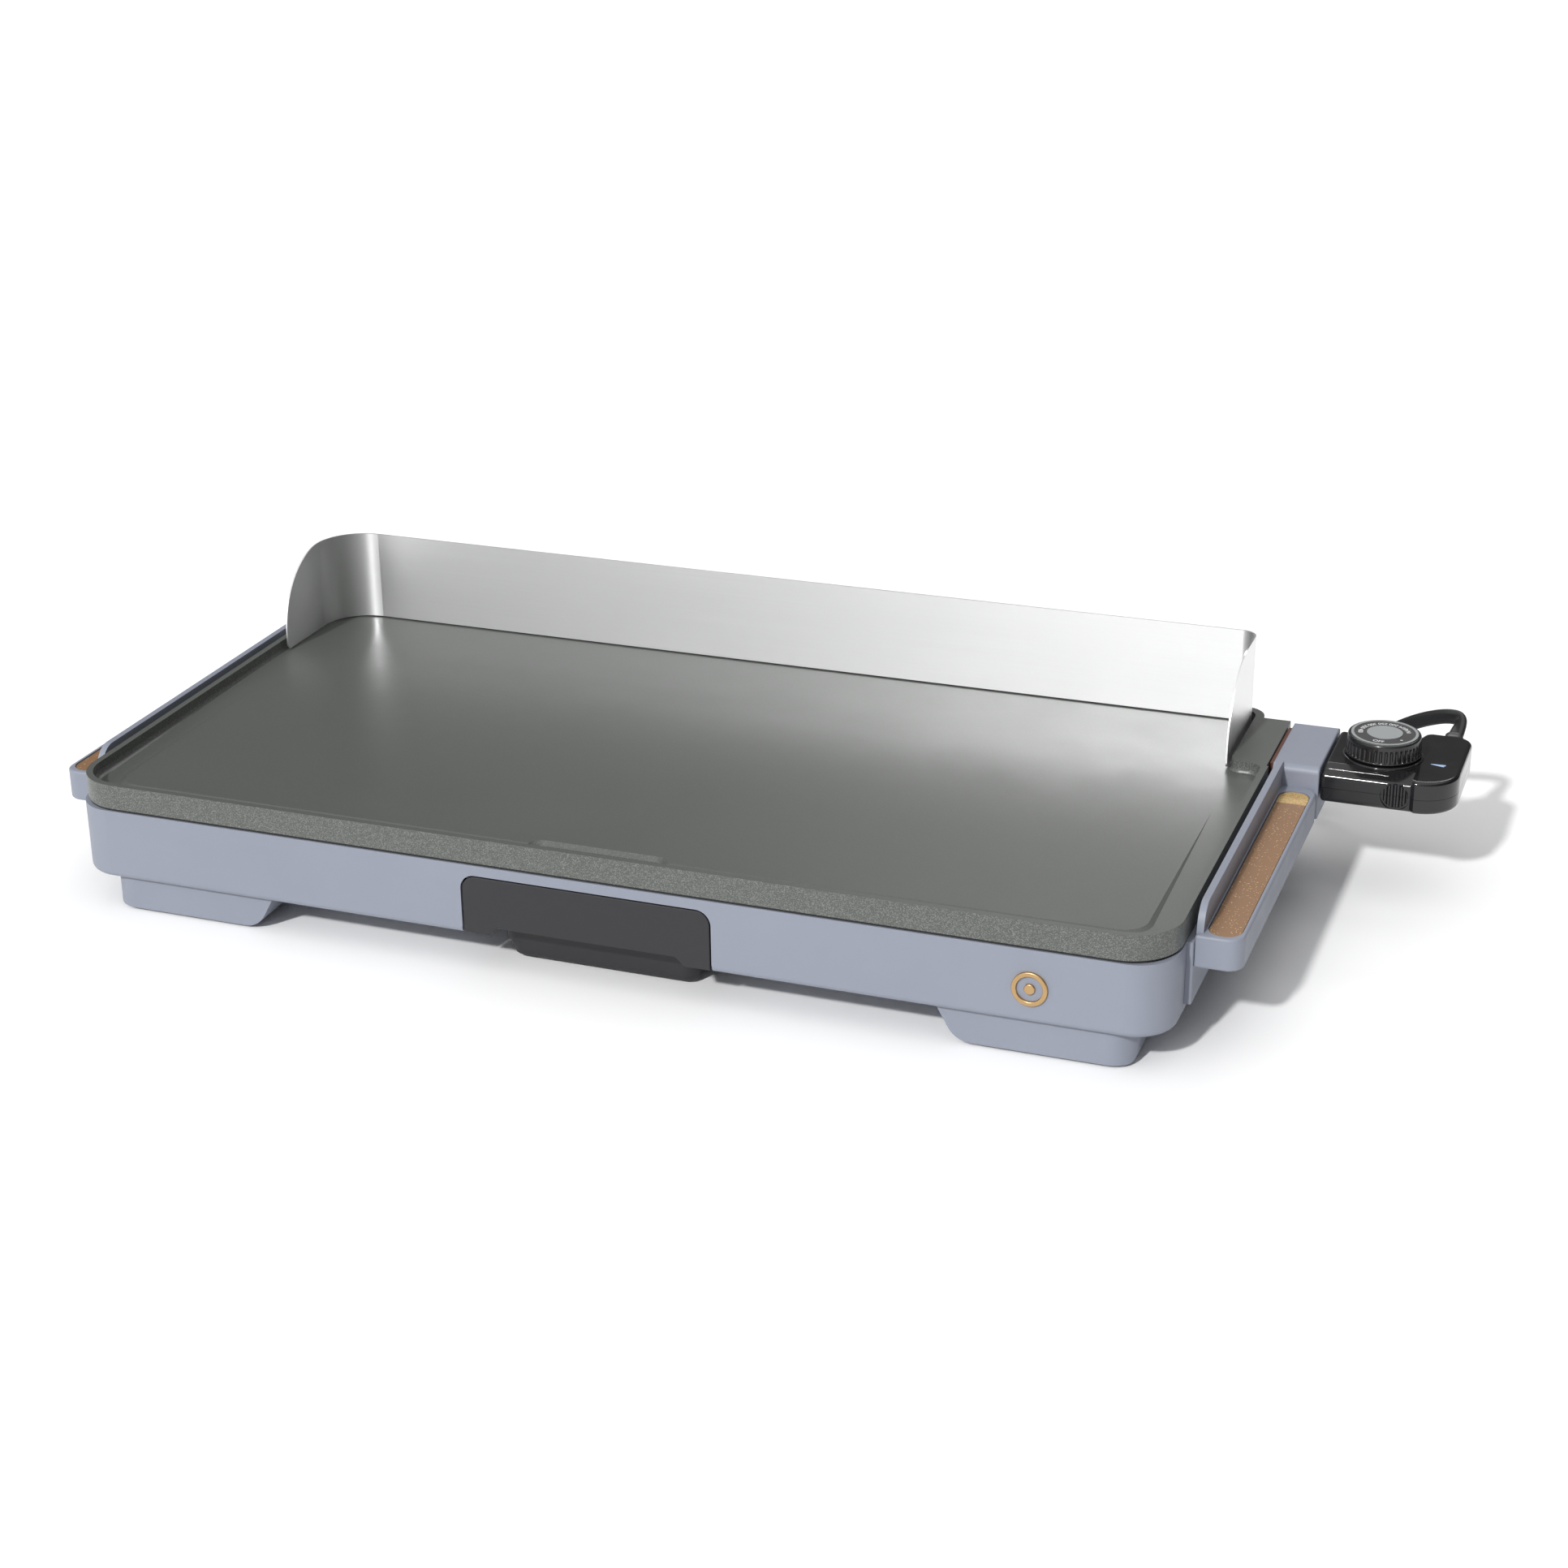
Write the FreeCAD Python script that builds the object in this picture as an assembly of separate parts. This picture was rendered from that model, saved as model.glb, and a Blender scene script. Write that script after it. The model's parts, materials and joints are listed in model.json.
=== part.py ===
import FreeCAD, Part
import math
import os

V = FreeCAD.Vector

# ---------------------------------------------------------------- driving dimensions (mm)
# Design frame: X = 0 midway between the two grips, Z = 0 on the worktop, +Y to the back.

# cooking plate
PLATE_HALF_X = 285.0
PLATE_FRONT = -150.0
PLATE_BACK = 139.0
PLATE_SKIRT_Z = 58.0
RIM_TOP = 70.8
RIM_WIDTH = 3.4
HOOD_WALL = 4.6
FLOOR_TOP = 64.6
FLOOR_UNDER = 60.6
FRONT_CORNER_R = 25.0
BACK_CORNER_R = 31.6
NOTCH_X = 269.6
HOOD_FRONT = 64.0
HOOD_BACK = 126.0
HOOD_OUTER_X = 284.0
GUTTER_DEPTH = 1.1
GUTTER_WIDTH = 14.0
SLOT_HALF = 34.8
SLOT_FRONT = -141.0
SLOT_BACK = -129.5

# base
BASE_TOP = 56.5
SEAL_INSET = (1.0, 2.6)
BASE_BOTTOM = 19.2
BASE_WALL = 2.6
BASE_EDGE_R = 3.2
BASE_FRONT_R = 20.5
POSTS = [(sx * 245.0, y) for sx in (-1, 1) for y in (-85.0, 60.0)]
POST_R = 6.0
POST_TOP = 46.3
POST_SEAT = 24.6
SCREW_SEAT = 22.2
PAD_FRONT = -119.0
PAD_BACK = 121.0
PAD_BOTTOM = 25.0
HANDLE_SCREW_Y = (-62.0, 34.0)
HANDLE_SCREW_Z = 49.5
VENT_X = [side * (40 + 14 * i) for side in (-1, 1) for i in range(8)]
BADGE_PROUD = 1.4

# feet
FOOT_TOP_X = (174.0, 269.5)
FOOT_SOLE_X = (184.0, 268.0)
FOOT_DEPTH = 47.0
FOOT_INSET = 5.0
FOOT_CORNER_R = 14.0
FOOT_SCREW_X = 223.0
RUBBER = 1.2

# grips
GRIP_INNER = 288.2
GRIP_OUTER = 310.2
GRIP_FRONT = -117.3
GRIP_BOTTOM = 43.3
GRIP_TOP = 59.5
FIN_THICK = 3.3
FIN_TOP = 72.1
LEFT_GRIP_BACK = 91.0
BLOCK_FRONT = 66.0
BLOCK_BACK = 124.5
BLOCK_INNER = 286.2
INLAY_BACK = 61.0
INLAY_TOP = 59.0

# drip tray
TRAY_CX = -0.5
TRAY_HALF = 64.5
TRAY_TOP = 50.4
TRAY_BOTTOM = 20.0
TRAY_GAP = 0.8
PAN_HALF_TOP = 58.0
PAN_HALF_SOLE = 49.0
PAN_TOP = 43.6
PAN_SOLE = 2.0
PAN_BACK = -60.0

# splash guard
GUARD_LEFT = -279.4
GUARD_RIGHT = 263.2
GUARD_BACK = 133.4
GUARD_FRONT = 65.0
GUARD_FOOT = 65.4
GUARD_TOP = 115.8
GUARD_THICK = 0.8
GUARD_SWEEP_R = 42.0
GUARD_TOE_R = 3.0

# electrical connection: two pins and a sensor between them
PROBE_Y = 95.0
PIN_Z = 57.5
PIN_PITCH = 28.0
PIN_R = 2.0
STEM_R = 2.6
STEM_TIP = 222.0
ELEMENT_R = 3.3
LOOP_HALF = 205.0
LOOP_FRONT = -90.0

# control probe
PROBE_LEFT = 311.0
PROBE_RIGHT = 378.0
PROBE_FRONT = 66.0
LOBE_FRONT = 64.6
PROBE_BACK = 122.0
LOBE_BACK = 133.0
PROBE_BOTTOM = 53.3
PROBE_SEAM = 61.2
PROBE_TOP = 70.8
SHELL = 2.0
SHELL_SCREWS = [(324.0, 73.0), (370.0, 108.0)]
LENS_X = (362.0, 369.6)
LENS_Y = 90.0
SHOULDER_BACK = 77.5
SHOULDER_FRONT_Z = 68.1
SHOULDER_R = 1.6
LOBE_X = 356.0
FINGER_X = 348.5
FINGER_R = 6.4
RELIEF_X = 366.0
RELIEF_Z = 62.0
KNOB_X = 337.3
KNOB_BOTTOM = 72.4
KNOB_TOP = 83.2
KNOB_R_LOW = 19.3
KNOB_R_TOP = 18.5
DIAL_RECESS_R = 17.0

# mains lead: flat twin, put away in a coil behind the griddle
CORD_D = 8.0
COIL_C = V(195.0, 200.0, 0.8)
COIL_IN = 37.8
COIL_OUT = 48.0
COIL_HIGH = 16.0
CORD_ROUTE = [(366.0, 143.0, 62.0), (366.6, 151.5, 63.4), (366.0, 160.5, 64.4), (358.0, 165.5, 64.2),
              (343.0, 170.0, 61.5), (327.0, 176.0, 50.0), (314.0, 181.0, 33.5), (300.0, 181.5, 17.0),
              (281.0, 174.0, 6.0), (258.0, 166.0, 4.8), (230.0, 160.0, 4.8), (202.8, 155.7, 4.8)]
TAIL_ROUTE = [(191.3, 157.2, 12.8), (172.0, 159.2, 11.6), (150.0, 161.0, 9.8), (131.0, 161.8, 8.6)]
PLUG_LENGTH = 36.0

# the row's origin: middle of the object's footprint, without the lead
ORIGIN = V((PROBE_RIGHT - GRIP_OUTER) / 2.0, (PLATE_FRONT - BADGE_PROUD + PLATE_BACK) / 2.0, 0.0)


# ---------------------------------------------------------------- helpers
def box(x0, x1, y0, y1, z0, z1):
    return Part.makeBox(x1 - x0, y1 - y0, z1 - z0, V(x0, y0, z0))


def cyl(r, start, end):
    way = V(*end) - V(*start)
    return Part.makeCylinder(r, way.Length, V(*start), way)


def mirrored(shape, centre_x=0.0):
    return shape.mirror(V(centre_x, 0, 0), V(1, 0, 0))


def corner_wire(corners):
    """Closed wire through (point, radius) corners, each corner rounded by its radius."""
    cuts = []
    for i, (point, radius) in enumerate(corners):
        before = corners[i - 1][0]
        after = corners[(i + 1) % len(corners)][0]
        cuts.append(rounded_corner(before, point, after, radius))
    edges = []
    for i, (start, middle, end) in enumerate(cuts):
        if middle is not None:
            edges.append(Part.Arc(start, middle, end).toShape())
        following = cuts[(i + 1) % len(cuts)][0]
        if end.distanceToPoint(following) > 1e-6:
            edges.append(Part.LineSegment(end, following).toShape())
    return Part.Wire(edges)


def rounded_corner(before, point, after, radius):
    """Start, middle and end of the arc that rounds the corner at point."""
    if radius <= 0:
        return point, None, point
    a = (before - point).normalize()
    b = (after - point).normalize()
    half = a.getAngle(b) / 2.0
    reach = radius / math.tan(half)
    bisector = (a + b).normalize()
    centre = point + bisector * (radius / math.sin(half))
    return point + a * reach, centre - bisector * radius, point + b * reach


def prism(corners, z0, z1):
    """Upright prism of a rounded outline of (x, y, radius) corners."""
    wire = corner_wire([(V(x, y, z0), r) for x, y, r in corners])
    return Part.Face(wire).extrude(V(0, 0, z1 - z0))


def prism_xz(corners, y0, y1):
    """Prism along Y of a rounded outline of (x, z, radius) corners."""
    wire = corner_wire([(V(x, y0, z), r) for x, z, r in corners])
    return Part.Face(wire).extrude(V(0, y1 - y0, 0))


def prism_yz(corners, x0, x1):
    """Prism along X of a rounded outline of (y, z, radius) corners."""
    wire = corner_wire([(V(x0, y, z), r) for y, z, r in corners])
    return Part.Face(wire).extrude(V(x1 - x0, 0, 0))


def rect(x0, x1, y0, y1, r):
    return [(x0, y0, r), (x1, y0, r), (x1, y1, r), (x0, y1, r)]


def edges_at(shape, height):
    """Edges that lie in the level plane z = height."""
    return [e for e in shape.Edges
            if abs(e.BoundBox.ZMin - height) < 1e-4 and abs(e.BoundBox.ZMax - height) < 1e-4]


def soften(shape, radius, edges):
    """Rounded edges; the sharp shape is kept if the kernel can't round them."""
    try:
        rounded = shape.makeFillet(radius, edges)
    except Part.OCCError:
        print("edges left sharp, radius", radius)
        return shape
    return rounded if rounded.isValid() and rounded.Volume > 0 else shape


def tangent_path(points, radii):
    """Open wire of straight runs joined by tangent arcs, one radius for each inner point."""
    edges = []
    start = points[0]
    for i, radius in enumerate(radii):
        a, middle, b = rounded_corner(points[i], points[i + 1], points[i + 2], radius)
        edges.append(Part.LineSegment(start, a).toShape())
        edges.append(Part.Arc(a, middle, b).toShape())
        start = b
    edges.append(Part.LineSegment(start, points[-1]).toShape())
    return Part.Wire(edges)


def sweep(path, section):
    swept = path.makePipeShell([section], True, False)
    return Part.Solid(swept) if swept.ShapeType != "Solid" else swept


def round_section(centre, way, r):
    return Part.Wire(Part.makeCircle(r, centre, way))


def free_lead(name, route):
    """Round tube along a free route; each arc is as large as its two runs allow."""
    points = [V(*p) for p in route]
    radii = []
    for before, point, after in zip(points, points[1:], points[2:]):
        shorter = min((point - before).Length, (after - point).Length)
        turn = (point - before).getAngle(after - point)
        radii.append(0.45 * shorter / math.tan(turn / 2.0))
    print(name, "radii", [round(r, 1) for r in radii])
    path = tangent_path(points, radii)
    tube = sweep(path, round_section(points[0], points[1] - points[0], CORD_D / 2.0))
    section = math.pi * CORD_D ** 2 / 4.0
    ratio = tube.Volume / (section * path.Length)
    print(name, "length", round(path.Length, 1), "volume ratio", round(ratio, 4))
    return tube


def screw(x, y, z_head, z_tip, r, head_r, head_h):
    """Upright screw, head at z_head and tip at z_tip, with a cross recess in the head."""
    up = 1.0 if z_tip > z_head else -1.0
    head = cyl(head_r, (x, y, z_head), (x, y, z_head + up * head_h))
    shank = cyl(r, (x, y, z_head), (x, y, z_tip))
    low, high = sorted((z_head - up, z_head + up * head_h * 0.6))
    cross = box(x - head_r * 0.6, x + head_r * 0.6, y - 0.4, y + 0.4, low, high)
    cross = cross.fuse(box(x - 0.4, x + 0.4, y - head_r * 0.6, y + head_r * 0.6, low, high))
    return head.fuse(shank).cut(cross)


def group(shapes):
    return Part.Compound(shapes)


# ---------------------------------------------------------------- cooking plate
def plate_outline(inset):
    """Outer outline of the plate, moved inwards; notched behind the terminal hood."""
    x, front, back = PLATE_HALF_X - inset, PLATE_FRONT + inset, PLATE_BACK - inset
    front_r, back_r = FRONT_CORNER_R - inset, BACK_CORNER_R - inset
    return [(-x, front, front_r), (x, front, front_r), (x, HOOD_BACK - inset, 1.5),
            (NOTCH_X - inset, HOOD_BACK - inset, 0), (NOTCH_X - inset, back, 12.0 - inset),
            (-x, back, back_r)]


def basin_outline():
    """Inside of the rim; it steps in beside the terminal hood."""
    x, front, back = PLATE_HALF_X - RIM_WIDTH, PLATE_FRONT + RIM_WIDTH, PLATE_BACK - RIM_WIDTH
    inner = NOTCH_X - HOOD_WALL
    return [(-x, front, FRONT_CORNER_R - RIM_WIDTH), (x, front, FRONT_CORNER_R - RIM_WIDTH),
            (x, HOOD_FRONT, 7.0), (inner, HOOD_FRONT, 5.0), (inner, back, 9.0),
            (-x, back, BACK_CORNER_R - RIM_WIDTH)]


def element_path(end_x):
    """Heating loop: in along the rear pin, round the plate and out along the front pin."""
    rear, front = PROBE_Y + PIN_PITCH / 2.0, PROBE_Y - PIN_PITCH / 2.0
    corners = [(end_x, rear), (-LOOP_HALF, rear), (-LOOP_HALF, LOOP_FRONT), (LOOP_HALF, LOOP_FRONT),
               (LOOP_HALF, front), (end_x, front)]
    points = [V(x, y, PIN_Z) for x, y in corners]
    return tangent_path(points, [28.0, 28.0, 28.0, 20.0])


def element_tube(r, end_x):
    rear = PROBE_Y + PIN_PITCH / 2.0
    return sweep(element_path(end_x), round_section(V(end_x, rear, PIN_Z), V(-1, 0, 0), r))


def griddle_plate():
    body = prism(plate_outline(0.0), PLATE_SKIRT_Z, RIM_TOP)
    body = body.cut(box(HOOD_OUTER_X, PLATE_HALF_X + 1, HOOD_FRONT - 2, HOOD_BACK + 1, 50, 80))
    gutter_floor = FLOOR_TOP - GUTTER_DEPTH
    basin = prism(basin_outline(), gutter_floor, RIM_TOP + 1)
    basin = soften(basin, 3.4, edges_at(basin, gutter_floor))
    body = body.cut(basin)
    body = soften(body, 1.3, edges_at(body, RIM_TOP))
    body = body.cut(prism(plate_outline(4.0), PLATE_SKIRT_Z - 1, FLOOR_UNDER))
    body = body.fuse(raised_floor(gutter_floor))
    ridge = element_ridge().common(prism(plate_outline(2.0), 50, FLOOR_UNDER + 0.4))
    body = body.fuse(ridge).fuse(sensor_boss()).fuse(drain_spout())
    for x, y in POSTS:
        body = body.fuse(cyl(6.0, (x, y, 47.4), (x, y, FLOOR_UNDER + 0.4)))
        body = body.cut(cyl(1.6, (x, y, 47.0), (x, y, 59.0)))
    # way out for the pins and the sensor through the skirt and the hood's outer wall
    body = body.cut(box(270, 290, PROBE_Y - 21, PROBE_Y + 21, 50, PIN_Z + STEM_R + 1.4))
    body = body.cut(element_tube(ELEMENT_R + 0.05, 276.0))
    body = body.cut(cyl(STEM_R + 0.3, (STEM_TIP - 3, PROBE_Y, PIN_Z), (290, PROBE_Y, PIN_Z)))
    return body.cut(drain_hole()).removeSplitter()


def raised_floor(gutter_floor):
    """Cooking surface above the front gutter, which fades out along both sides."""
    inner_x = PLATE_HALF_X - RIM_WIDTH - GUTTER_WIDTH
    front = PLATE_FRONT + RIM_WIDTH
    slope = 2.4
    outlines = []
    for grow, z in ((slope, gutter_floor), (0.0, FLOOR_TOP)):
        corners = rect(-inner_x - grow, inner_x + grow, front + GUTTER_WIDTH - grow, HOOD_BACK, 12.0 + grow)
        outlines.append(corner_wire([(V(x, y, z), r) for x, y, r in corners]))
    table = Part.makeLoft(outlines, True, True)
    under = FLOOR_UNDER + 0.2
    hump = rect(-inner_x, inner_x, front + GUTTER_WIDTH, HOOD_BACK, 12.0)
    table = table.fuse(prism(hump, under, FLOOR_TOP))
    bands = prism_yz([(front + 24, under, 0), (front + 24, gutter_floor, 0), (10.0, FLOOR_TOP, 0),
                      (PLATE_BACK, FLOOR_TOP, 0), (PLATE_BACK, under, 0)], -PLATE_HALF_X, PLATE_HALF_X)
    return table.fuse(bands.common(prism(plate_outline(1.5), under - 1, FLOOR_TOP + 1)))


def element_ridge():
    """Cast rib under the plate that holds the heating element."""
    half, low, high = 5.6, 52.6, FLOOR_UNDER + 0.4
    y = PROBE_Y + PIN_PITCH / 2.0
    corners = [V(276, y - half, low), V(276, y + half, low), V(276, y + half, high), V(276, y - half, high)]
    return sweep(element_path(276.0), Part.makePolygon(corners + corners[:1]))


def sensor_boss():
    return box(STEM_TIP - 6, 270, PROBE_Y - 6.5, PROBE_Y + 6.5, 52.6, FLOOR_UNDER + 0.4)


def drain_hole():
    """Through slot with a bevelled upper edge."""
    r = (SLOT_BACK - SLOT_FRONT) / 2.0 - 0.01
    outlines = []
    for grow, z in ((0.0, FLOOR_TOP - 2.2), (2.6, FLOOR_TOP + 0.4)):
        corners = rect(-SLOT_HALF - grow, SLOT_HALF + grow, SLOT_FRONT - grow, SLOT_BACK + grow, r + grow)
        outlines.append(corner_wire([(V(x, y, z), corner_r) for x, y, corner_r in corners]))
    bevel = Part.makeLoft(outlines, True, True)
    return bevel.fuse(prism(rect(-SLOT_HALF, SLOT_HALF, SLOT_FRONT, SLOT_BACK, r), 40, FLOOR_TOP - 1.0))


def drain_spout():
    wall = 2.0
    r = (SLOT_BACK - SLOT_FRONT) / 2.0 + wall - 0.01
    return prism(rect(-SLOT_HALF - wall, SLOT_HALF + wall, SLOT_FRONT - wall, SLOT_BACK + wall, r),
                 50.0, FLOOR_UNDER + 0.4)


def terminal_insulator():
    body = box(284.3, 286.0, PROBE_Y - 25, PROBE_Y + 25, 50.0, 69.4)
    for dy, r in ((-PIN_PITCH / 2, PIN_R + 0.05), (PIN_PITCH / 2, PIN_R + 0.05), (0, STEM_R + 0.4)):
        body = body.cut(cyl(r, (280, PROBE_Y + dy, PIN_Z), (290, PROBE_Y + dy, PIN_Z)))
    return body


def terminal_pins():
    pins = []
    for side in (-1, 1):
        y = PROBE_Y + side * PIN_PITCH / 2.0
        pin = cyl(PIN_R, (276.0, y, PIN_Z), (307.0, y, PIN_Z))
        pins.append(soften(pin, 0.8, [e for e in pin.Edges if abs(e.BoundBox.XMin - 307.0) < 1e-4]))
    return group(pins)


# ---------------------------------------------------------------- base
def base_housing():
    x = PLATE_HALF_X
    outer = prism([(-x, PLATE_FRONT, BASE_FRONT_R), (x, PLATE_FRONT, BASE_FRONT_R),
                   (x, PLATE_BACK, BACK_CORNER_R), (-x, PLATE_BACK, BACK_CORNER_R)], BASE_BOTTOM, BASE_TOP)
    outer = soften(outer, BASE_EDGE_R, edges_at(outer, BASE_BOTTOM))
    w = BASE_WALL
    hollow = prism([(-x + w, PLATE_FRONT + w, BASE_FRONT_R - w), (x - w, PLATE_FRONT + w, BASE_FRONT_R - w),
                    (x - w, PLATE_BACK - w, BACK_CORNER_R - w), (-x + w, PLATE_BACK - w, BACK_CORNER_R - w)],
                   BASE_BOTTOM + w, BASE_TOP + 1)
    hollow = soften(hollow, BASE_EDGE_R - w, edges_at(hollow, BASE_BOTTOM + w))
    body = outer.cut(hollow)
    # deck that closes the corner behind the plate's terminal hood
    body = body.fuse(outer.common(box(NOTCH_X - 6, 300, HOOD_BACK - 6, 150, BASE_TOP - 2.4, BASE_TOP)))
    body = soften(body, 0.8, [e for e in edges_at(body, BASE_TOP) if e.BoundBox.YMin < PLATE_FRONT + 30])
    for px, py in POSTS:
        body = body.fuse(cyl(POST_R, (px, py, BASE_BOTTOM + 1), (px, py, POST_SEAT)))
    right_pad = box(x - 1, GRIP_INNER, PAD_FRONT, PAD_BACK, PAD_BOTTOM, BASE_TOP)
    left_pad = box(-GRIP_INNER, -x + 1, PAD_FRONT, LEFT_GRIP_BACK + 10, PAD_BOTTOM, BASE_TOP)
    for pad in (right_pad, left_pad):
        body = body.fuse(soften(pad, 1.2, [e for e in pad.Edges if abs(e.BoundBox.YLength) < 1e-6
                                           and e.BoundBox.ZLength > 10]))
    body = body.cut(tray_mouth())
    body = body.cut(box(TRAY_CX - TRAY_HALF - 1, TRAY_CX + TRAY_HALF + 1, PLATE_FRONT - 1, PAN_BACK + 4,
                        BASE_BOTTOM - 1, BASE_BOTTOM + w + 1))
    body = body.cut(box(x - 5, GRIP_INNER + 1, PROBE_Y - 26, PROBE_Y + 26, 49.6, BASE_TOP + 1))
    for px, py in POSTS:
        body = body.cut(cyl(2.2, (px, py, 10), (px, py, 50)))
        body = body.cut(cyl(4.4, (px, py, 10), (px, py, SCREW_SEAT)))
    for cx, cy in foot_screw_places():
        body = body.cut(cyl(1.6, (cx, cy, 15), (cx, cy, 25)))
    for side in (-1, 1):
        for y in HANDLE_SCREW_Y:
            body = body.cut(cyl(2.0, (side * 280, y, HANDLE_SCREW_Z), (side * 292, y, HANDLE_SCREW_Z)))
    for vx in VENT_X:
        body = body.cut(prism(rect(vx - 2.0, vx + 2.0, 40, 100, 1.95), 15, 25))
    return body.removeSplitter()


def plate_standoffs():
    """Heat-proof sleeves round the plate's screws, between the base and the reflector."""
    return group([cyl(POST_R, (x, y, POST_SEAT), (x, y, POST_TOP)).cut(cyl(2.2, (x, y, 10), (x, y, 50)))
                  for x, y in POSTS])


def plate_seal():
    """Black heat-resistant strip on the base's top edge, under the plate's rim; it stops at the terminals."""
    outer, inner = [prism(plate_outline(inset), BASE_TOP, PLATE_SKIRT_Z) for inset in SEAL_INSET]
    return outer.cut(inner).cut(box(NOTCH_X - 8, 300, HOOD_FRONT - 4, 150, BASE_TOP - 1, PLATE_SKIRT_Z + 1))


def tray_mouth():
    """Opening in the front wall for the drip tray's panel."""
    half, top = TRAY_HALF + TRAY_GAP, TRAY_TOP + TRAY_GAP
    return prism_xz([(TRAY_CX - half, 10, 0), (TRAY_CX + half, 10, 0), (TRAY_CX + half, top, 7.8),
                     (TRAY_CX - half, top, 7.8)], PLATE_FRONT - 1, PLATE_FRONT + 12)


def foot_places():
    """(mirror side, front edge y) of the four feet, by name."""
    front, back = PLATE_FRONT + FOOT_INSET, PLATE_BACK - FOOT_INSET - FOOT_DEPTH
    return {"front_left_foot": (-1, front), "front_right_foot": (1, front),
            "rear_left_foot": (-1, back), "rear_right_foot": (1, back)}


def foot_screw_places():
    return [(side * FOOT_SCREW_X, y + FOOT_DEPTH / 2.0) for side, y in foot_places().values()]


def foot_plan(x0, x1, y0, inset):
    """Outline of a right foot from above; its corner below the base's corner is the rounder one."""
    y1 = y0 + FOOT_DEPTH
    front_r, back_r = (FOOT_CORNER_R, 5.0) if y0 < 0 else (5.0, FOOT_CORNER_R)
    return [(x0 + inset, y0 + inset, 1.5), (x1 - inset, y0 + inset, front_r - inset),
            (x1 - inset, y1 - inset, back_r - inset), (x0 + inset, y1 - inset, 1.5)]


def foot(side, y0):
    body = prism_xz([(FOOT_TOP_X[0], BASE_BOTTOM, 0), (FOOT_SOLE_X[0], RUBBER, 13.0),
                     (FOOT_SOLE_X[1], RUBBER, 3.5), (FOOT_TOP_X[1], BASE_BOTTOM, 0)], y0, y0 + FOOT_DEPTH)
    body = body.common(prism(foot_plan(FOOT_TOP_X[0], FOOT_TOP_X[1], y0, 0.0), 0, BASE_BOTTOM))
    body = soften(body, 0.6, [e for e in body.Edges if e.BoundBox.ZMax < BASE_BOTTOM - 0.1])
    cy = y0 + FOOT_DEPTH / 2
    body = body.cut(cyl(1.6, (FOOT_SCREW_X, cy, 0), (FOOT_SCREW_X, cy, 20)))
    body = body.cut(cyl(4.0, (FOOT_SCREW_X, cy, 0), (FOOT_SCREW_X, cy, 6.0)))
    return body if side > 0 else mirrored(body)


def rubber_pads():
    pads = []
    for side, y0 in foot_places().values():
        pad = prism(foot_plan(FOOT_SOLE_X[0] + 9, FOOT_SOLE_X[1] - 2, y0, 2.0), 0, RUBBER)
        pad = soften(pad, 0.4, edges_at(pad, 0))
        cy = y0 + FOOT_DEPTH / 2
        pad = pad.cut(cyl(4.0, (FOOT_SCREW_X, cy, -1), (FOOT_SCREW_X, cy, 2)))
        pads.append(pad if side > 0 else mirrored(pad))
    return group(pads)


def front_badge():
    """Plain ring emblem with a dot inside it, near the front right corner."""
    middle, height = 220.5, 37.0
    front = PLATE_FRONT - BADGE_PROUD
    ring = cyl(8.6, (middle, front, height), (middle, PLATE_FRONT, height))
    ring = ring.cut(cyl(6.3, (middle, front - 1, height), (middle, PLATE_FRONT + 1, height)))
    dot = cyl(2.6, (middle, front, height), (middle, PLATE_FRONT, height))
    return group([soften(piece, 0.5, [e for e in piece.Edges if abs(e.BoundBox.YMax - front) < 1e-4])
                  for piece in (ring, dot)])


def heat_reflector():
    body = prism(rect(-274, 274, PLATE_FRONT + 6, PLATE_BACK - 6, 22.0), 46.5, 47.1)
    for x, y in POSTS:
        body = body.cut(cyl(2.4, (x, y, 40), (x, y, 50)))
    body = body.cut(box(-46, 46, -144.0, -118.0, 40, 50))
    rib_z = 47.1
    for y in (-70.0, 0.0, 40.0):
        body = body.fuse(box(-190, 190, y - 4, y + 4, rib_z - 0.01, rib_z + 1.2))
    return body.removeSplitter()


def tray_rails():
    """Left and right guides, bent sheet standing on the base's floor."""
    inner, wall, top = 60.0, TRAY_HALF + 2.2, 42.0
    y0, y1 = PLATE_FRONT + 8, PAN_BACK
    floor = BASE_BOTTOM + BASE_WALL
    right = box(TRAY_CX + inner, TRAY_CX + wall + 1.2, y0, y1, top - 1.2, top)
    right = right.fuse(box(TRAY_CX + wall, TRAY_CX + wall + 1.2, y0, y1, floor, top))
    right = right.fuse(box(TRAY_CX + wall, TRAY_CX + wall + 9, y0, y1, floor, floor + 1.2)).removeSplitter()
    return {"tray_rail_right": right, "tray_rail_left": mirrored(right, TRAY_CX)}


# ---------------------------------------------------------------- grips
def right_grip_blank(back):
    corner = 8.0
    tail_r = 0 if back > LEFT_GRIP_BACK else corner
    outline = [(GRIP_INNER, GRIP_FRONT, 1.0), (GRIP_OUTER, GRIP_FRONT, corner),
               (GRIP_OUTER, back, tail_r), (GRIP_INNER, back, 0)]
    return prism(outline, GRIP_BOTTOM, GRIP_TOP)


def fin(back, round_back):
    """Upright heat guard between the plate and the grip, swept down at its free ends."""
    z = GRIP_TOP - 2
    rear_r = 11.0 if round_back else 0
    return prism_yz([(GRIP_FRONT + 3, z, 0), (GRIP_FRONT + 6, FIN_TOP, 11.0), (back, FIN_TOP, rear_r),
                     (back, z, 0)], GRIP_INNER, GRIP_INNER + FIN_THICK)


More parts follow.
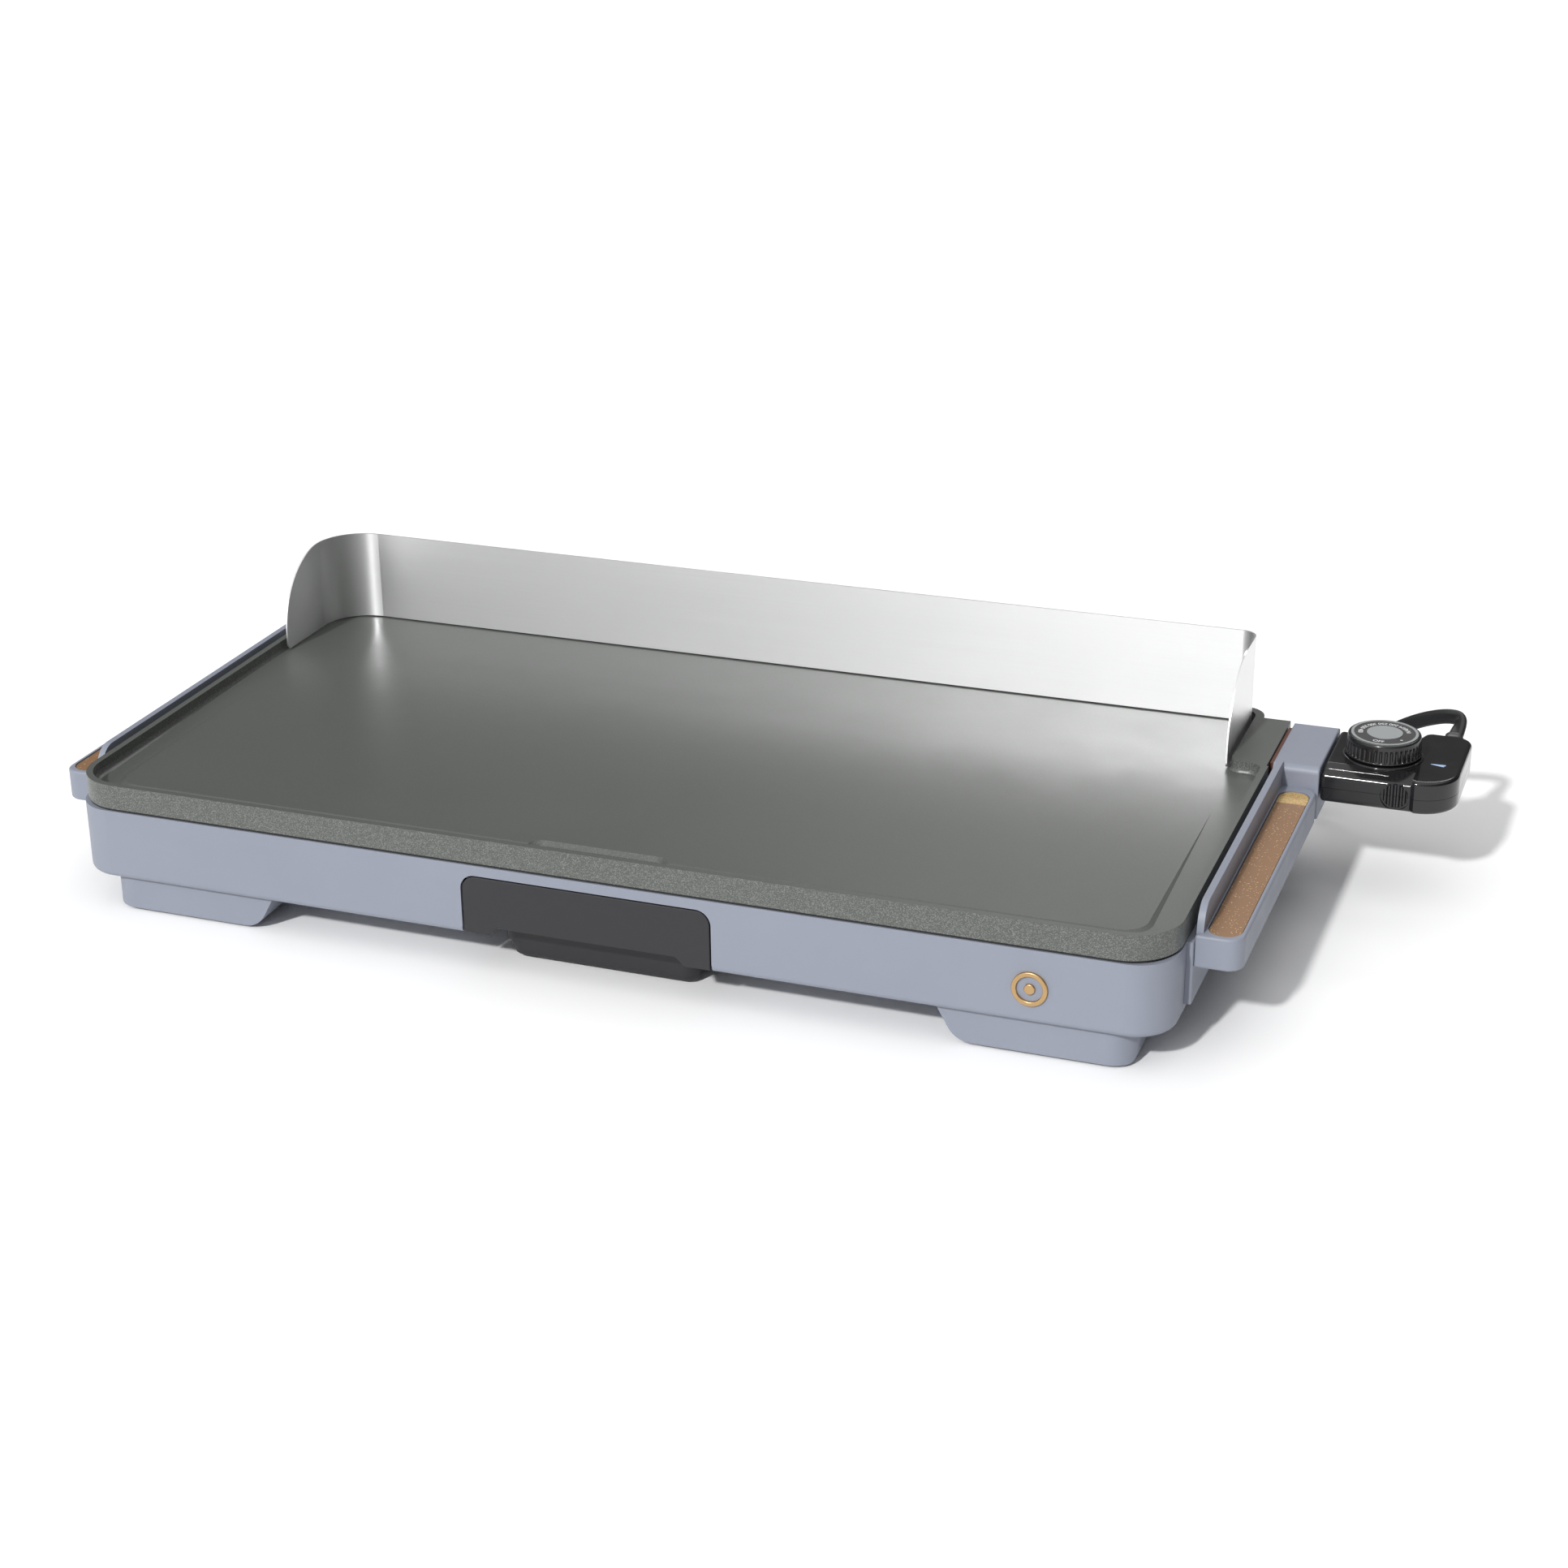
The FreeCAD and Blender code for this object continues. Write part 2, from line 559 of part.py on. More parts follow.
def grip_details(body, back, inlay_back):
    """Pocket for the inlay, hollow underside with two screw bosses, rounded edges."""
    x0, x1 = GRIP_INNER + 4.0, GRIP_OUTER - 2.0
    slot = rect(x0, x1, GRIP_FRONT + 2.8, inlay_back, (x1 - x0) / 2 - 0.01)
    pocket = prism(slot, GRIP_TOP - 1.5, GRIP_TOP + 20)
    body = body.cut(pocket)
    stops = [GRIP_FRONT + 4] + [y + d for y in HANDLE_SCREW_Y for d in (-6, 6)] + [back - 4]
    for y0, y1 in zip(stops[0::2], stops[1::2]):
        body = body.cut(prism(rect(GRIP_INNER + 2.8, GRIP_OUTER - 2.6, y0, y1, 3.0), GRIP_BOTTOM - 1, 55.5))
    for y in HANDLE_SCREW_Y:
        body = body.cut(cyl(1.95, (GRIP_INNER - 1, y, HANDLE_SCREW_Z), (300, y, HANDLE_SCREW_Z)))
    return body


def right_handle():
    grip = right_grip_blank(BLOCK_FRONT + 1)
    grip = soften(grip, 1.2, [e for e in edges_at(grip, GRIP_BOTTOM) + edges_at(grip, GRIP_TOP)
                              if e.BoundBox.XMax > GRIP_INNER + 3 and e.BoundBox.YMin < BLOCK_FRONT - 10])
    body = grip.fuse(fin(BLOCK_FRONT + 2, False))
    body = grip_details(body, BLOCK_FRONT, INLAY_BACK)
    block = box(BLOCK_INNER, GRIP_OUTER, BLOCK_FRONT, BLOCK_BACK, GRIP_BOTTOM, RIM_TOP)
    block = soften(block, 3.6, [e for e in edges_at(block, RIM_TOP)
                                if e.BoundBox.YMax < BLOCK_FRONT + 1])
    block = soften(block, 1.0, [e for e in edges_at(block, RIM_TOP)])
    # room for the base's pad, for the probe's nose and a hollow underside
    block = block.cut(box(BLOCK_INNER - 1, GRIP_INNER, BLOCK_FRONT - 1, BLOCK_BACK + 1, GRIP_BOTTOM - 1,
                          BASE_TOP + 0.3))
    body = body.fuse(block)
    body = body.cut(box(280, 320, PROBE_Y - 22, PROBE_Y + 22, 52.4, 66.2))
    body = body.cut(box(GRIP_INNER + 3, GRIP_OUTER - 2.6, BLOCK_FRONT + 4, BLOCK_BACK - 3,
                        GRIP_BOTTOM - 1, 49.4))
    return body.removeSplitter()


def left_handle():
    """Built on the right, then mirrored: a grip rounded at both ends and a longer fin."""
    grip = right_grip_blank(LEFT_GRIP_BACK)
    grip = soften(grip, 1.2, [e for e in edges_at(grip, GRIP_BOTTOM) + edges_at(grip, GRIP_TOP)
                              if e.BoundBox.XMax > GRIP_INNER + 3])
    web = box(GRIP_INNER, GRIP_INNER + FIN_THICK, LEFT_GRIP_BACK - 5, LEFT_GRIP_BACK + 10,
              GRIP_BOTTOM, GRIP_TOP)
    body = grip.fuse(fin(LEFT_GRIP_BACK + 10, True)).fuse(web)
    return mirrored(grip_details(body, LEFT_GRIP_BACK, LEFT_GRIP_BACK - 3).removeSplitter())


def inlay(back):
    gap = 0.35
    x0, x1 = GRIP_INNER + 4.0 + gap, GRIP_OUTER - 2.0 - gap
    strip = prism(rect(x0, x1, GRIP_FRONT + 2.8 + gap, back - gap, (x1 - x0) / 2 - 0.01),
                  GRIP_TOP - 1.5, INLAY_TOP)
    return soften(strip, 0.3, edges_at(strip, INLAY_TOP))


def handle_screws():
    screws = []
    for side in (-1, 1):
        for y in HANDLE_SCREW_Y:
            head_x, wall_x, tip_x = 280.0, PLATE_HALF_X - BASE_WALL, 299.0
            head = cyl(3.6, (side * head_x, y, HANDLE_SCREW_Z), (side * wall_x, y, HANDLE_SCREW_Z))
            shank = cyl(1.9, (side * head_x, y, HANDLE_SCREW_Z), (side * tip_x, y, HANDLE_SCREW_Z))
            screws.append(head.fuse(shank).removeSplitter())
    return group(screws)


# ---------------------------------------------------------------- drip tray
def tray_front():
    half, foot_w, rise, top = TRAY_HALF, 13.0, 4.4, TRAY_TOP
    outline = [(-half, TRAY_BOTTOM, 0.8), (-half + foot_w, TRAY_BOTTOM, 0.8),
               (-half + foot_w + 5.0, TRAY_BOTTOM + rise, 1.5),
               (half - foot_w - 5.0, TRAY_BOTTOM + rise, 1.5),
               (half - foot_w, TRAY_BOTTOM, 0.8), (half, TRAY_BOTTOM, 0.8),
               (half, top, 7.0), (-half, top, 7.0)]
    panel = prism_xz([(TRAY_CX + x, z, r) for x, z, r in outline], PLATE_FRONT, PLATE_FRONT + 2.8)
    panel = soften(panel, 0.5, [e for e in panel.Edges if abs(e.BoundBox.YMax - PLATE_FRONT) < 1e-4])
    for x in (-30.0, 30.0):
        panel = panel.fuse(box(TRAY_CX + x - 6, TRAY_CX + x + 6, PLATE_FRONT + 2.7, PLATE_FRONT + 7.0,
                               PAN_TOP, PAN_TOP + 2.0))
    return panel.removeSplitter()


def pan_wire(half, front, back, z, r):
    corners = rect(TRAY_CX - half, TRAY_CX + half, front, back, r)
    return corner_wire([(V(x, y, z), radius) for x, y, radius in corners])


def tray_pan():
    """Tapered tub whose front leans back below the panel, with a flange that runs on the rails."""
    front_top, front_sole, back_sole, wall = PLATE_FRONT + 4.5, -131.0, -72.0, 1.6
    outer = Part.makeLoft([pan_wire(PAN_HALF_TOP, front_top, PAN_BACK, PAN_TOP, 9.0),
                           pan_wire(PAN_HALF_SOLE, front_sole, back_sole, PAN_SOLE, 7.0)], True, True)
    outer = soften(outer, 1.6, edges_at(outer, PAN_SOLE))
    flange = prism(rect(TRAY_CX - 63.5, TRAY_CX + 63.5, PLATE_FRONT + 2.9, PAN_BACK + 2, 2.0),
                   PAN_TOP - 1.2, PAN_TOP)
    inner = Part.makeLoft([pan_wire(PAN_HALF_TOP - wall, front_top + wall, PAN_BACK - wall,
                                    PAN_TOP + 0.1, 7.4),
                           pan_wire(PAN_HALF_SOLE - wall, front_sole + wall, back_sole - wall,
                                    PAN_SOLE + 1.8, 5.4)], True, True)
    return outer.fuse(flange).cut(inner).removeSplitter()


# ---------------------------------------------------------------- splash guard
def splash_guard():
    """Bent sheet on three sides; its wings are swept down towards the front."""
    t = GUARD_THICK
    front = GUARD_FRONT - 20
    outer = prism([(GUARD_LEFT, front, 0), (GUARD_RIGHT, front, 0), (GUARD_RIGHT, GUARD_BACK, 8.0),
                   (GUARD_LEFT, GUARD_BACK, 26.0)], GUARD_FOOT, GUARD_TOP)
    inner = prism([(GUARD_LEFT + t, front - 1, 0), (GUARD_RIGHT - t, front - 1, 0),
                   (GUARD_RIGHT - t, GUARD_BACK - t, 8.0 - t), (GUARD_LEFT + t, GUARD_BACK - t, 26.0 - t)],
                  GUARD_FOOT - 1, GUARD_TOP + 1)
    side = prism_yz([(GUARD_FRONT, GUARD_FOOT, GUARD_TOE_R), (GUARD_FRONT, GUARD_TOP, GUARD_SWEEP_R),
                     (GUARD_BACK + 1, GUARD_TOP, 0), (GUARD_BACK + 1, GUARD_FOOT, 0)], -300, 300)
    return outer.cut(inner).common(side)


# ---------------------------------------------------------------- control probe
def probe_outline(inset):
    i = inset
    return [(PROBE_LEFT + i, PROBE_FRONT + i, 2.0), (LOBE_X + i * 0.4, PROBE_FRONT + i, 0),
            (LOBE_X + 2, LOBE_FRONT + i, 0), (PROBE_RIGHT - i, LOBE_FRONT + i, 19.0 - i),
            (PROBE_RIGHT - i, LOBE_BACK - i, 9.0 - i), (354.0 + i, LOBE_BACK - i, 5.0),
            (350.0 + i, PROBE_BACK - i, 6.0), (PROBE_LEFT + i, PROBE_BACK - i, 2.0)]


def probe_body():
    body = prism(probe_outline(0.0), PROBE_BOTTOM, PROBE_TOP)
    body = soften(body, 2.2, edges_at(body, PROBE_TOP) + edges_at(body, PROBE_BOTTOM))
    # the front shoulder below the knob leans down to the front face
    drop = (PROBE_TOP - SHOULDER_FRONT_Z) / (SHOULDER_BACK - PROBE_FRONT)
    reach = 3.0
    lean = prism_yz([(PROBE_FRONT - reach, SHOULDER_FRONT_Z - drop * reach, 0), (SHOULDER_BACK, PROBE_TOP, 0),
                     (SHOULDER_BACK, 80, 0), (PROBE_FRONT - reach, 80, 0)], PROBE_LEFT - 1, LOBE_X + 0.5)
    body = body.cut(lean)
    corners = ((PROBE_FRONT, SHOULDER_FRONT_Z), (SHOULDER_BACK, PROBE_TOP))
    along_x = [e for e in body.Edges if e.BoundBox.XLength > 20 and e.BoundBox.YLength < 0.1]
    body = soften(body, SHOULDER_R, [e for e in along_x
                                     if any(e.BoundBox.isInside(V(330, y, z)) for y, z in corners)])
    # fine groove along the middle of the shoulder
    y = PROBE_FRONT + 5.6
    z = SHOULDER_FRONT_Z + drop * (y - PROBE_FRONT) + 0.15
    return body.cut(cyl(0.5, (PROBE_LEFT + 3, y, z), (LOBE_X - 12, y, z)))


def finger_grip():
    """What is cut from the front face for the finger grip: a ring round four upright flutes."""
    cz = PROBE_SEAM
    ring = cyl(FINGER_R + 1.1, (FINGER_X, PROBE_FRONT - 1, cz), (FINGER_X, PROBE_FRONT + 0.9, cz))
    ring = ring.cut(cyl(FINGER_R, (FINGER_X, PROBE_FRONT - 2, cz), (FINGER_X, PROBE_FRONT + 1, cz)))
    disc = cyl(FINGER_R, (FINGER_X, PROBE_FRONT - 1, cz), (FINGER_X, PROBE_FRONT + 1.4, cz))
    for i in range(4):
        x = FINGER_X + (i - 1.5) * 3.1
        ring = ring.fuse(cyl(1.15, (x, PROBE_FRONT, cz - 10), (x, PROBE_FRONT, cz + 10)).common(disc))
    return ring


def probe_shells():
    body = probe_body().cut(finger_grip())
    collar = cyl(20.4, (KNOB_X, PROBE_Y, PROBE_TOP - 3), (KNOB_X, PROBE_Y, PROBE_TOP + 0.9))
    collar = soften(collar, 0.8, edges_at(collar, PROBE_TOP + 0.9))
    body = body.fuse(collar)
    hollow = prism(probe_outline(SHELL), PROBE_BOTTOM + SHELL, PROBE_TOP - 3.6)
    body = body.cut(hollow)
    body = body.cut(box(300, 320, PROBE_Y - 21.1, PROBE_Y + 21.1, PROBE_BOTTOM + 0.4, 65.2))
    body = body.cut(cyl(4.0, (KNOB_X, PROBE_Y, 60), (KNOB_X, PROBE_Y, 80)))
    body = body.cut(prism_xz(relief_section(0.15), 125, 140))
    body = body.cut(prism([(LENS_X[0] - 0.4, LENS_Y + 0.75, 0), (LENS_X[1] - 0.85, LENS_Y - 1.15, 0),
                           (LENS_X[1] + 0.2, LENS_Y + 1.3, 0)], 60, 80))
    lower = body.common(box(300, 390, 50, 150, 40, PROBE_SEAM))
    upper = body.common(box(300, 390, 50, 150, PROBE_SEAM + 0.15, 90))
    for x, y in SHELL_SCREWS:
        post = cyl(3.0, (x, y, PROBE_BOTTOM + 1), (x, y, PROBE_SEAM))
        lower = lower.fuse(post).cut(cyl(1.5, (x, y, 50), (x, y, 64)))
        lower = lower.cut(cyl(2.6, (x, y, 50), (x, y, PROBE_BOTTOM + 2.4)))
        post = cyl(3.0, (x, y, PROBE_SEAM + 0.15), (x, y, PROBE_TOP - 3))
        upper = upper.fuse(post).cut(cyl(1.25, (x, y, 55), (x, y, PROBE_TOP - 3.6)))
    return upper.removeSplitter(), lower.removeSplitter()


def relief_section(grow):
    """Outline of the strain relief where it passes the shell."""
    return [(RELIEF_X - 6 - grow, RELIEF_Z - 4 - grow, 3.5), (RELIEF_X + 6 + grow, RELIEF_Z - 4 - grow, 3.5),
            (RELIEF_X + 6 + grow, RELIEF_Z + 4 + grow, 3.5), (RELIEF_X - 6 - grow, RELIEF_Z + 4 + grow, 3.5)]


def oval(centre, side, half_side, half_z, r):
    """Rounded rectangle about centre, spanned by the unit vector side and by Z."""
    up = V(0, 0, half_z)
    across = side * half_side
    corners = [centre - across - up, centre + across - up, centre + across + up, centre - across + up]
    return corner_wire([(corner, r) for corner in corners])


def strain_relief():
    """Tapered sleeve, held between the shells by a flange inside them."""
    rings = [oval(V(RELIEF_X, y, RELIEF_Z), V(1, 0, 0), half_x, half_z, half_z - 0.3)
             for y, half_x, half_z in ((123.0, 6.0, 4.0), (134.0, 6.0, 4.0), (CORD_ROUTE[0][1], 4.9, 3.4))]
    sleeve = Part.makeLoft(rings, True, True)
    flange = box(RELIEF_X - 7.2, RELIEF_X + 7.2, 127.5, 130.0, RELIEF_Z - 4.8, RELIEF_Z + 4.8)
    return sleeve.fuse(flange).removeSplitter()


def probe_nose():
    """Heat-proof carrier that enters the grip's block, with a socket for each pin."""
    body = box(289.5, 312.8, PROBE_Y - 21, PROBE_Y + 21, PROBE_BOTTOM + 0.5, 65.0)
    body = soften(body, 2.0, [e for e in body.Edges if e.BoundBox.XLength > 10])
    body = body.fuse(box(313.2, 316.0, PROBE_Y - 24, PROBE_Y + 24, PROBE_BOTTOM + 2.2, 66.6))
    body = body.fuse(box(312.5, 313.4, PROBE_Y - 19, PROBE_Y + 19, PROBE_BOTTOM + 2.4, 64.0))
    for side in (-1, 1):
        y = PROBE_Y + side * PIN_PITCH / 2.0
        body = body.cut(cyl(3.1, (285, y, PIN_Z), (311, y, PIN_Z)))
    return body.cut(cyl(STEM_R + 0.05, (280, PROBE_Y, PIN_Z), (330, PROBE_Y, PIN_Z))).removeSplitter()


def socket_contacts():
    sleeves = []
    for side in (-1, 1):
        y = PROBE_Y + side * PIN_PITCH / 2.0
        outer = cyl(3.05, (291.5, y, PIN_Z), (310.5, y, PIN_Z))
        sleeves.append(outer.cut(cyl(PIN_R + 0.3, (290, y, PIN_Z), (309, y, PIN_Z))))
    return group(sleeves)


def sensor_stem():
    stem = cyl(STEM_R, (STEM_TIP, PROBE_Y, PIN_Z), (322.0, PROBE_Y, PIN_Z))
    return soften(stem, 1.6, [e for e in stem.Edges if abs(e.BoundBox.XMax - STEM_TIP) < 1e-4])


def thermostat_frame():
    base = box(323.0, 352.0, PROBE_Y - 11, PROBE_Y + 11, 55.6, 57.4)
    tower = box(323.0, 327.0, PROBE_Y - 11, PROBE_Y + 11, 55.6, 65.0)
    return base.fuse(tower).cut(cyl(2.3, (KNOB_X, PROBE_Y, 50), (KNOB_X, PROBE_Y, 70))).removeSplitter()


def thermostat_blades():
    """Two contact springs one above the other, with a contact button on each."""
    blades = []
    for i, z in enumerate((59.0, 61.4)):
        blade = box(327.0, 350.0, PROBE_Y + 3.4, PROBE_Y + 8.4, z, z + 0.4)
        way = 0.9 if i == 0 else -0.9
        blade = blade.fuse(cyl(1.4, (348, PROBE_Y + 5.9, z + 0.2), (348, PROBE_Y + 5.9, z + 0.2 + way)))
        blades.append(blade.removeSplitter())
    return group(blades)


def indicator_lamp():
    bulb = cyl(1.9, (359.0, LENS_Y, 63.8), (367.0, LENS_Y, 63.8))
    return soften(bulb, 1.2, bulb.Edges[:1])


def indicator_lens():
    """Pointed wedge set into the shell, its thick end towards the right."""
    (x0, x1), y = LENS_X, LENS_Y
    outline = [(x0, y + 0.7, 0), (x1 - 0.9, y - 1.0, 0), (x1, y + 1.2, 0)]
    return prism(outline, PROBE_TOP - 1.8, PROBE_TOP + 0.25)


def shell_screws():
    return group([screw(x, y, PROBE_BOTTOM + 0.8, PROBE_TOP - 5.0, 1.2, 2.4, 1.4) for x, y in SHELL_SCREWS])


# ---------------------------------------------------------------- knob
def control_knob():
    outer = Part.makeCone(KNOB_R_LOW, KNOB_R_TOP, KNOB_TOP - KNOB_BOTTOM, V(KNOB_X, PROBE_Y, KNOB_BOTTOM))
    outer = soften(outer, 1.1, edges_at(outer, KNOB_TOP))
    inner = Part.makeCone(KNOB_R_LOW - 2, KNOB_R_TOP - 2, KNOB_TOP - KNOB_BOTTOM - 2.6,
                          V(KNOB_X, PROBE_Y, KNOB_BOTTOM - 0.01))
    hub = cyl(5.6, (KNOB_X, PROBE_Y, KNOB_BOTTOM), (KNOB_X, PROBE_Y, KNOB_TOP - 2))
    body = outer.cut(inner).fuse(hub)
    body = body.cut(cyl(3.02, (KNOB_X, PROBE_Y, 60), (KNOB_X, PROBE_Y, KNOB_TOP - 2.2)))
    body = body.cut(cyl(DIAL_RECESS_R, (KNOB_X, PROBE_Y, KNOB_TOP - 0.6), (KNOB_X, PROBE_Y, KNOB_TOP + 1)))
    return body.removeSplitter()


def knob_ring(r_in, r_out, z1):
    ring = cyl(r_out, (KNOB_X, PROBE_Y, KNOB_TOP - 0.6), (KNOB_X, PROBE_Y, z1))
    if r_in:
        ring = ring.cut(cyl(r_in, (KNOB_X, PROBE_Y, KNOB_TOP - 2), (KNOB_X, PROBE_Y, z1 + 1)))
    return ring


def knob_shaft():
    shaft = cyl(3.0, (KNOB_X, PROBE_Y, 66.0), (KNOB_X, PROBE_Y, KNOB_TOP - 2.4))
    return shaft.fuse(cyl(1.8, (KNOB_X, PROBE_Y, 58.5), (KNOB_X, PROBE_Y, 66.1))).removeSplitter()


# ---------------------------------------------------------------- mains lead
def cord_coil():
    cx, cy, z = COIL_C.x, COIL_C.y, COIL_C.z
    ring = cyl(COIL_OUT, (cx, cy, z), (cx, cy, z + COIL_HIGH))
    return ring.cut(cyl(COIL_IN, (cx, cy, z - 1), (cx, cy, z + COIL_HIGH + 1)))


def coil_tie():
    """Flat band round the coil's turns, on the side away from the griddle."""
    cx, cy, z = COIL_C.x, COIL_C.y, COIL_C.z
    t = 0.8
    band = box(cx - 6, cx + 6, cy + COIL_IN - 1.2 - t, cy + COIL_OUT + t, z - t, z + COIL_HIGH + t)
    turns = box(cx - 7, cx + 7, cy + COIL_IN - 1.2, cy + COIL_OUT, z, z + COIL_HIGH)
    return band.cut(cord_coil()).cut(turns)


def plug_body():
    end = V(*TAIL_ROUTE[-1])
    rings = [oval(end - V(dx, 0, 0), V(0, 1, 0), half_y, half_z, 0.6 * half_z)
             for dx, half_y, half_z in ((0, 4.6, 4.2), (10, 5.6, 4.8), (18, 11.0, 7.6),
                                        (PLUG_LENGTH, 12.0, 8.4))]
    return Part.makeLoft(rings, True, True)


def plug_prongs():
    x1, y, z = TAIL_ROUTE[-1][0] - PLUG_LENGTH, TAIL_ROUTE[-1][1], TAIL_ROUTE[-1][2]
    blades = []
    for side in (-1, 1):
        cy = y + side * 6.35
        blade = prism_xz([(x1 - 17, z - 3.1, 1.6), (x1, z - 3.1, 0),
                          (x1, z + 3.1, 0), (x1 - 17, z + 3.1, 1.6)],
                         cy - 0.75, cy + 0.75)
        blades.append(blade.cut(cyl(1.5, (x1 - 12, cy - 3, z), (x1 - 12, cy + 3, z))))
    return group(blades)


# ---------------------------------------------------------------- assembly
def all_nodes():
    upper, lower = probe_shells()
    coil = cord_coil()
    nodes = {
        "griddle_plate": griddle_plate(),
        "heating_element": element_tube(ELEMENT_R, 276.0),
        "terminal_pins": terminal_pins(),
        "terminal_insulator": terminal_insulator(),
        "plate_screws": group([screw(x, y, SCREW_SEAT - 2.4, 57.0, 1.55, 4.0, 2.4) for x, y in POSTS]),
        "plate_standoffs": plate_standoffs(),
        "plate_seal": plate_seal(),
        "base_housing": base_housing(),
        "rubber_pads": rubber_pads(),
        "foot_screws": group([screw(x, y, 3.0, 24.0, 1.55, 3.6, 2.4) for x, y in foot_screw_places()]),
        "front_badge": front_badge(),
        "heat_reflector": heat_reflector(),
        "left_handle": left_handle(),
        "right_handle": right_handle(),
        "left_handle_inlay": mirrored(inlay(LEFT_GRIP_BACK - 3)),
        "right_handle_inlay": inlay(INLAY_BACK),
        "handle_screws": handle_screws(),
        "tray_front": tray_front(),
        "tray_pan": tray_pan(),
        "splash_guard": splash_guard(),
        "probe_upper_shell": upper,
        "probe_lower_shell": lower,
        "probe_nose": probe_nose(),
        "socket_contacts": socket_contacts(),
        "sensor_stem": sensor_stem(),
        "thermostat_frame": thermostat_frame(),
        "thermostat_blades": thermostat_blades(),
        "indicator_lamp": indicator_lamp(),
        "indicator_lens": indicator_lens(),
        "shell_screws": shell_screws(),
        "strain_relief": strain_relief(),
        "control_knob": control_knob(),
        "knob_trim_ring": knob_ring(15.45, DIAL_RECESS_R - 0.1, KNOB_TOP + 0.15),
        "knob_dial": knob_ring(9.1, 15.4, KNOB_TOP - 0.1),
        "knob_cap": knob_ring(0, 9.0, KNOB_TOP + 0.2),
        "knob_shaft": knob_shaft(),
        "power_cord": free_lead("power_cord", CORD_ROUTE).cut(coil),
        "power_cord_end": free_lead("power_cord_end", TAIL_ROUTE).cut(coil),
        "cord_coil": coil,
        "coil_tie": coil_tie(),
        "plug_body": plug_body(),
        "plug_prongs": plug_prongs(),
    }
    nodes.update({name: foot(side, y) for name, (side, y) in foot_places().items()})
    nodes.update(tray_rails())
    return nodes


os.makedirs("parts", exist_ok=True)
for name, shape in all_nodes().items():
    placed = shape.copy()
    placed.translate(ORIGIN * -1)
    print("%-20s solids %d valid %s volume %9.0f"
          % (name, len(placed.Solids), placed.isValid(), placed.Volume))
    placed.exportStep("parts/%s.step" % name)
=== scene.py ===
import json
import math

import bmesh
import bpy
from mathutils import Matrix, Vector


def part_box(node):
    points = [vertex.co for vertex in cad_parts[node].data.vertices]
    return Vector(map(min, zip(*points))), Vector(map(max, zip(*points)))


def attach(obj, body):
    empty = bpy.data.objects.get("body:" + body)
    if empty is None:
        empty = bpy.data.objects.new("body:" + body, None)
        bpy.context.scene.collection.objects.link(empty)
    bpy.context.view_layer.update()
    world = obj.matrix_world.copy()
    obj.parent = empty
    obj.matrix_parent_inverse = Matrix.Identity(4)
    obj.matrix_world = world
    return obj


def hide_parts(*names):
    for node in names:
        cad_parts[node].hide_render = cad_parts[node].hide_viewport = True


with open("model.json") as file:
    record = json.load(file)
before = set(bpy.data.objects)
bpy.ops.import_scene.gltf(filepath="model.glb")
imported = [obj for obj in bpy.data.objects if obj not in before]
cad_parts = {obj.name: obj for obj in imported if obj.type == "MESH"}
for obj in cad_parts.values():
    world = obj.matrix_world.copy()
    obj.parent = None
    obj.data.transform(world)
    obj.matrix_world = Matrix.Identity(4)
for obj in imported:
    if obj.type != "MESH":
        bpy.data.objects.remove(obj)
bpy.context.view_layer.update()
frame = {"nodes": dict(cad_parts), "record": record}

NODES = frame["nodes"]
UP = Vector((0, 0, 1))


# ---------------------------------------------------------------- camera
CAMERA_PLACE = Vector((0.4885, -1.2672, 0.6361))
CAMERA_YAW = math.radians(20.493)
CAMERA_PITCH = math.radians(23.211)
CAMERA_ROLL = math.radians(-0.664)
LENS_MM = 65.76
SENSOR_MM = 36.0


def make_camera():
    back = Vector((math.sin(CAMERA_YAW) * math.cos(CAMERA_PITCH),
                   -math.cos(CAMERA_YAW) * math.cos(CAMERA_PITCH), math.sin(CAMERA_PITCH)))
    right = (-back).cross(UP).normalized()
    over = back.cross(right)
    cos_roll, sin_roll = math.cos(CAMERA_ROLL), math.sin(CAMERA_ROLL)
    right, over = cos_roll * right + sin_roll * over, cos_roll * over - sin_roll * right
    data = bpy.data.cameras.new("camera")
    data.lens = LENS_MM
    data.sensor_width = SENSOR_MM
    camera = bpy.data.objects.new("camera", data)
    bpy.context.scene.collection.objects.link(camera)
    camera.matrix_world = Matrix((right, over, back)).transposed().to_4x4()
    camera.location = CAMERA_PLACE
    bpy.context.scene.camera = camera


make_camera()


# ---------------------------------------------------------------- small tools
def add_mesh(name, bm, smooth_angle=40.0):
    """Links a new object, shaded smooth except across edges sharper than the angle in degrees."""
    mesh = bpy.data.meshes.new(name)
    bmesh.ops.recalc_face_normals(bm, faces=bm.faces)
    bm.to_mesh(mesh)
    bm.free()
    obj = bpy.data.objects.new(name, mesh)
    bpy.context.scene.collection.objects.link(obj)
    mesh.shade_smooth()
    mesh.set_sharp_from_angle(angle=math.radians(smooth_angle))
    return obj


def finish_piece(obj, body, material, replaced=()):
    """Gives a piece its material, in a new material slot, and its body, and hides the CAD nodes it stands
    for.
    """
    obj.data.materials.append(material)
    if replaced:
        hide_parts(*replaced)
    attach(obj, body)
    return obj


def bridge_rings(bm, rings):
    """Quads between rings of vertices, each a closed loop, and a cap on both ends."""
    for low, high in zip(rings, rings[1:]):
        count = len(low)
        for i in range(count):
            j = (i + 1) % count
            bm.faces.new((low[i], low[j], high[j], high[i]))
    bm.faces.new(list(reversed(rings[0])))
    bm.faces.new(rings[-1])


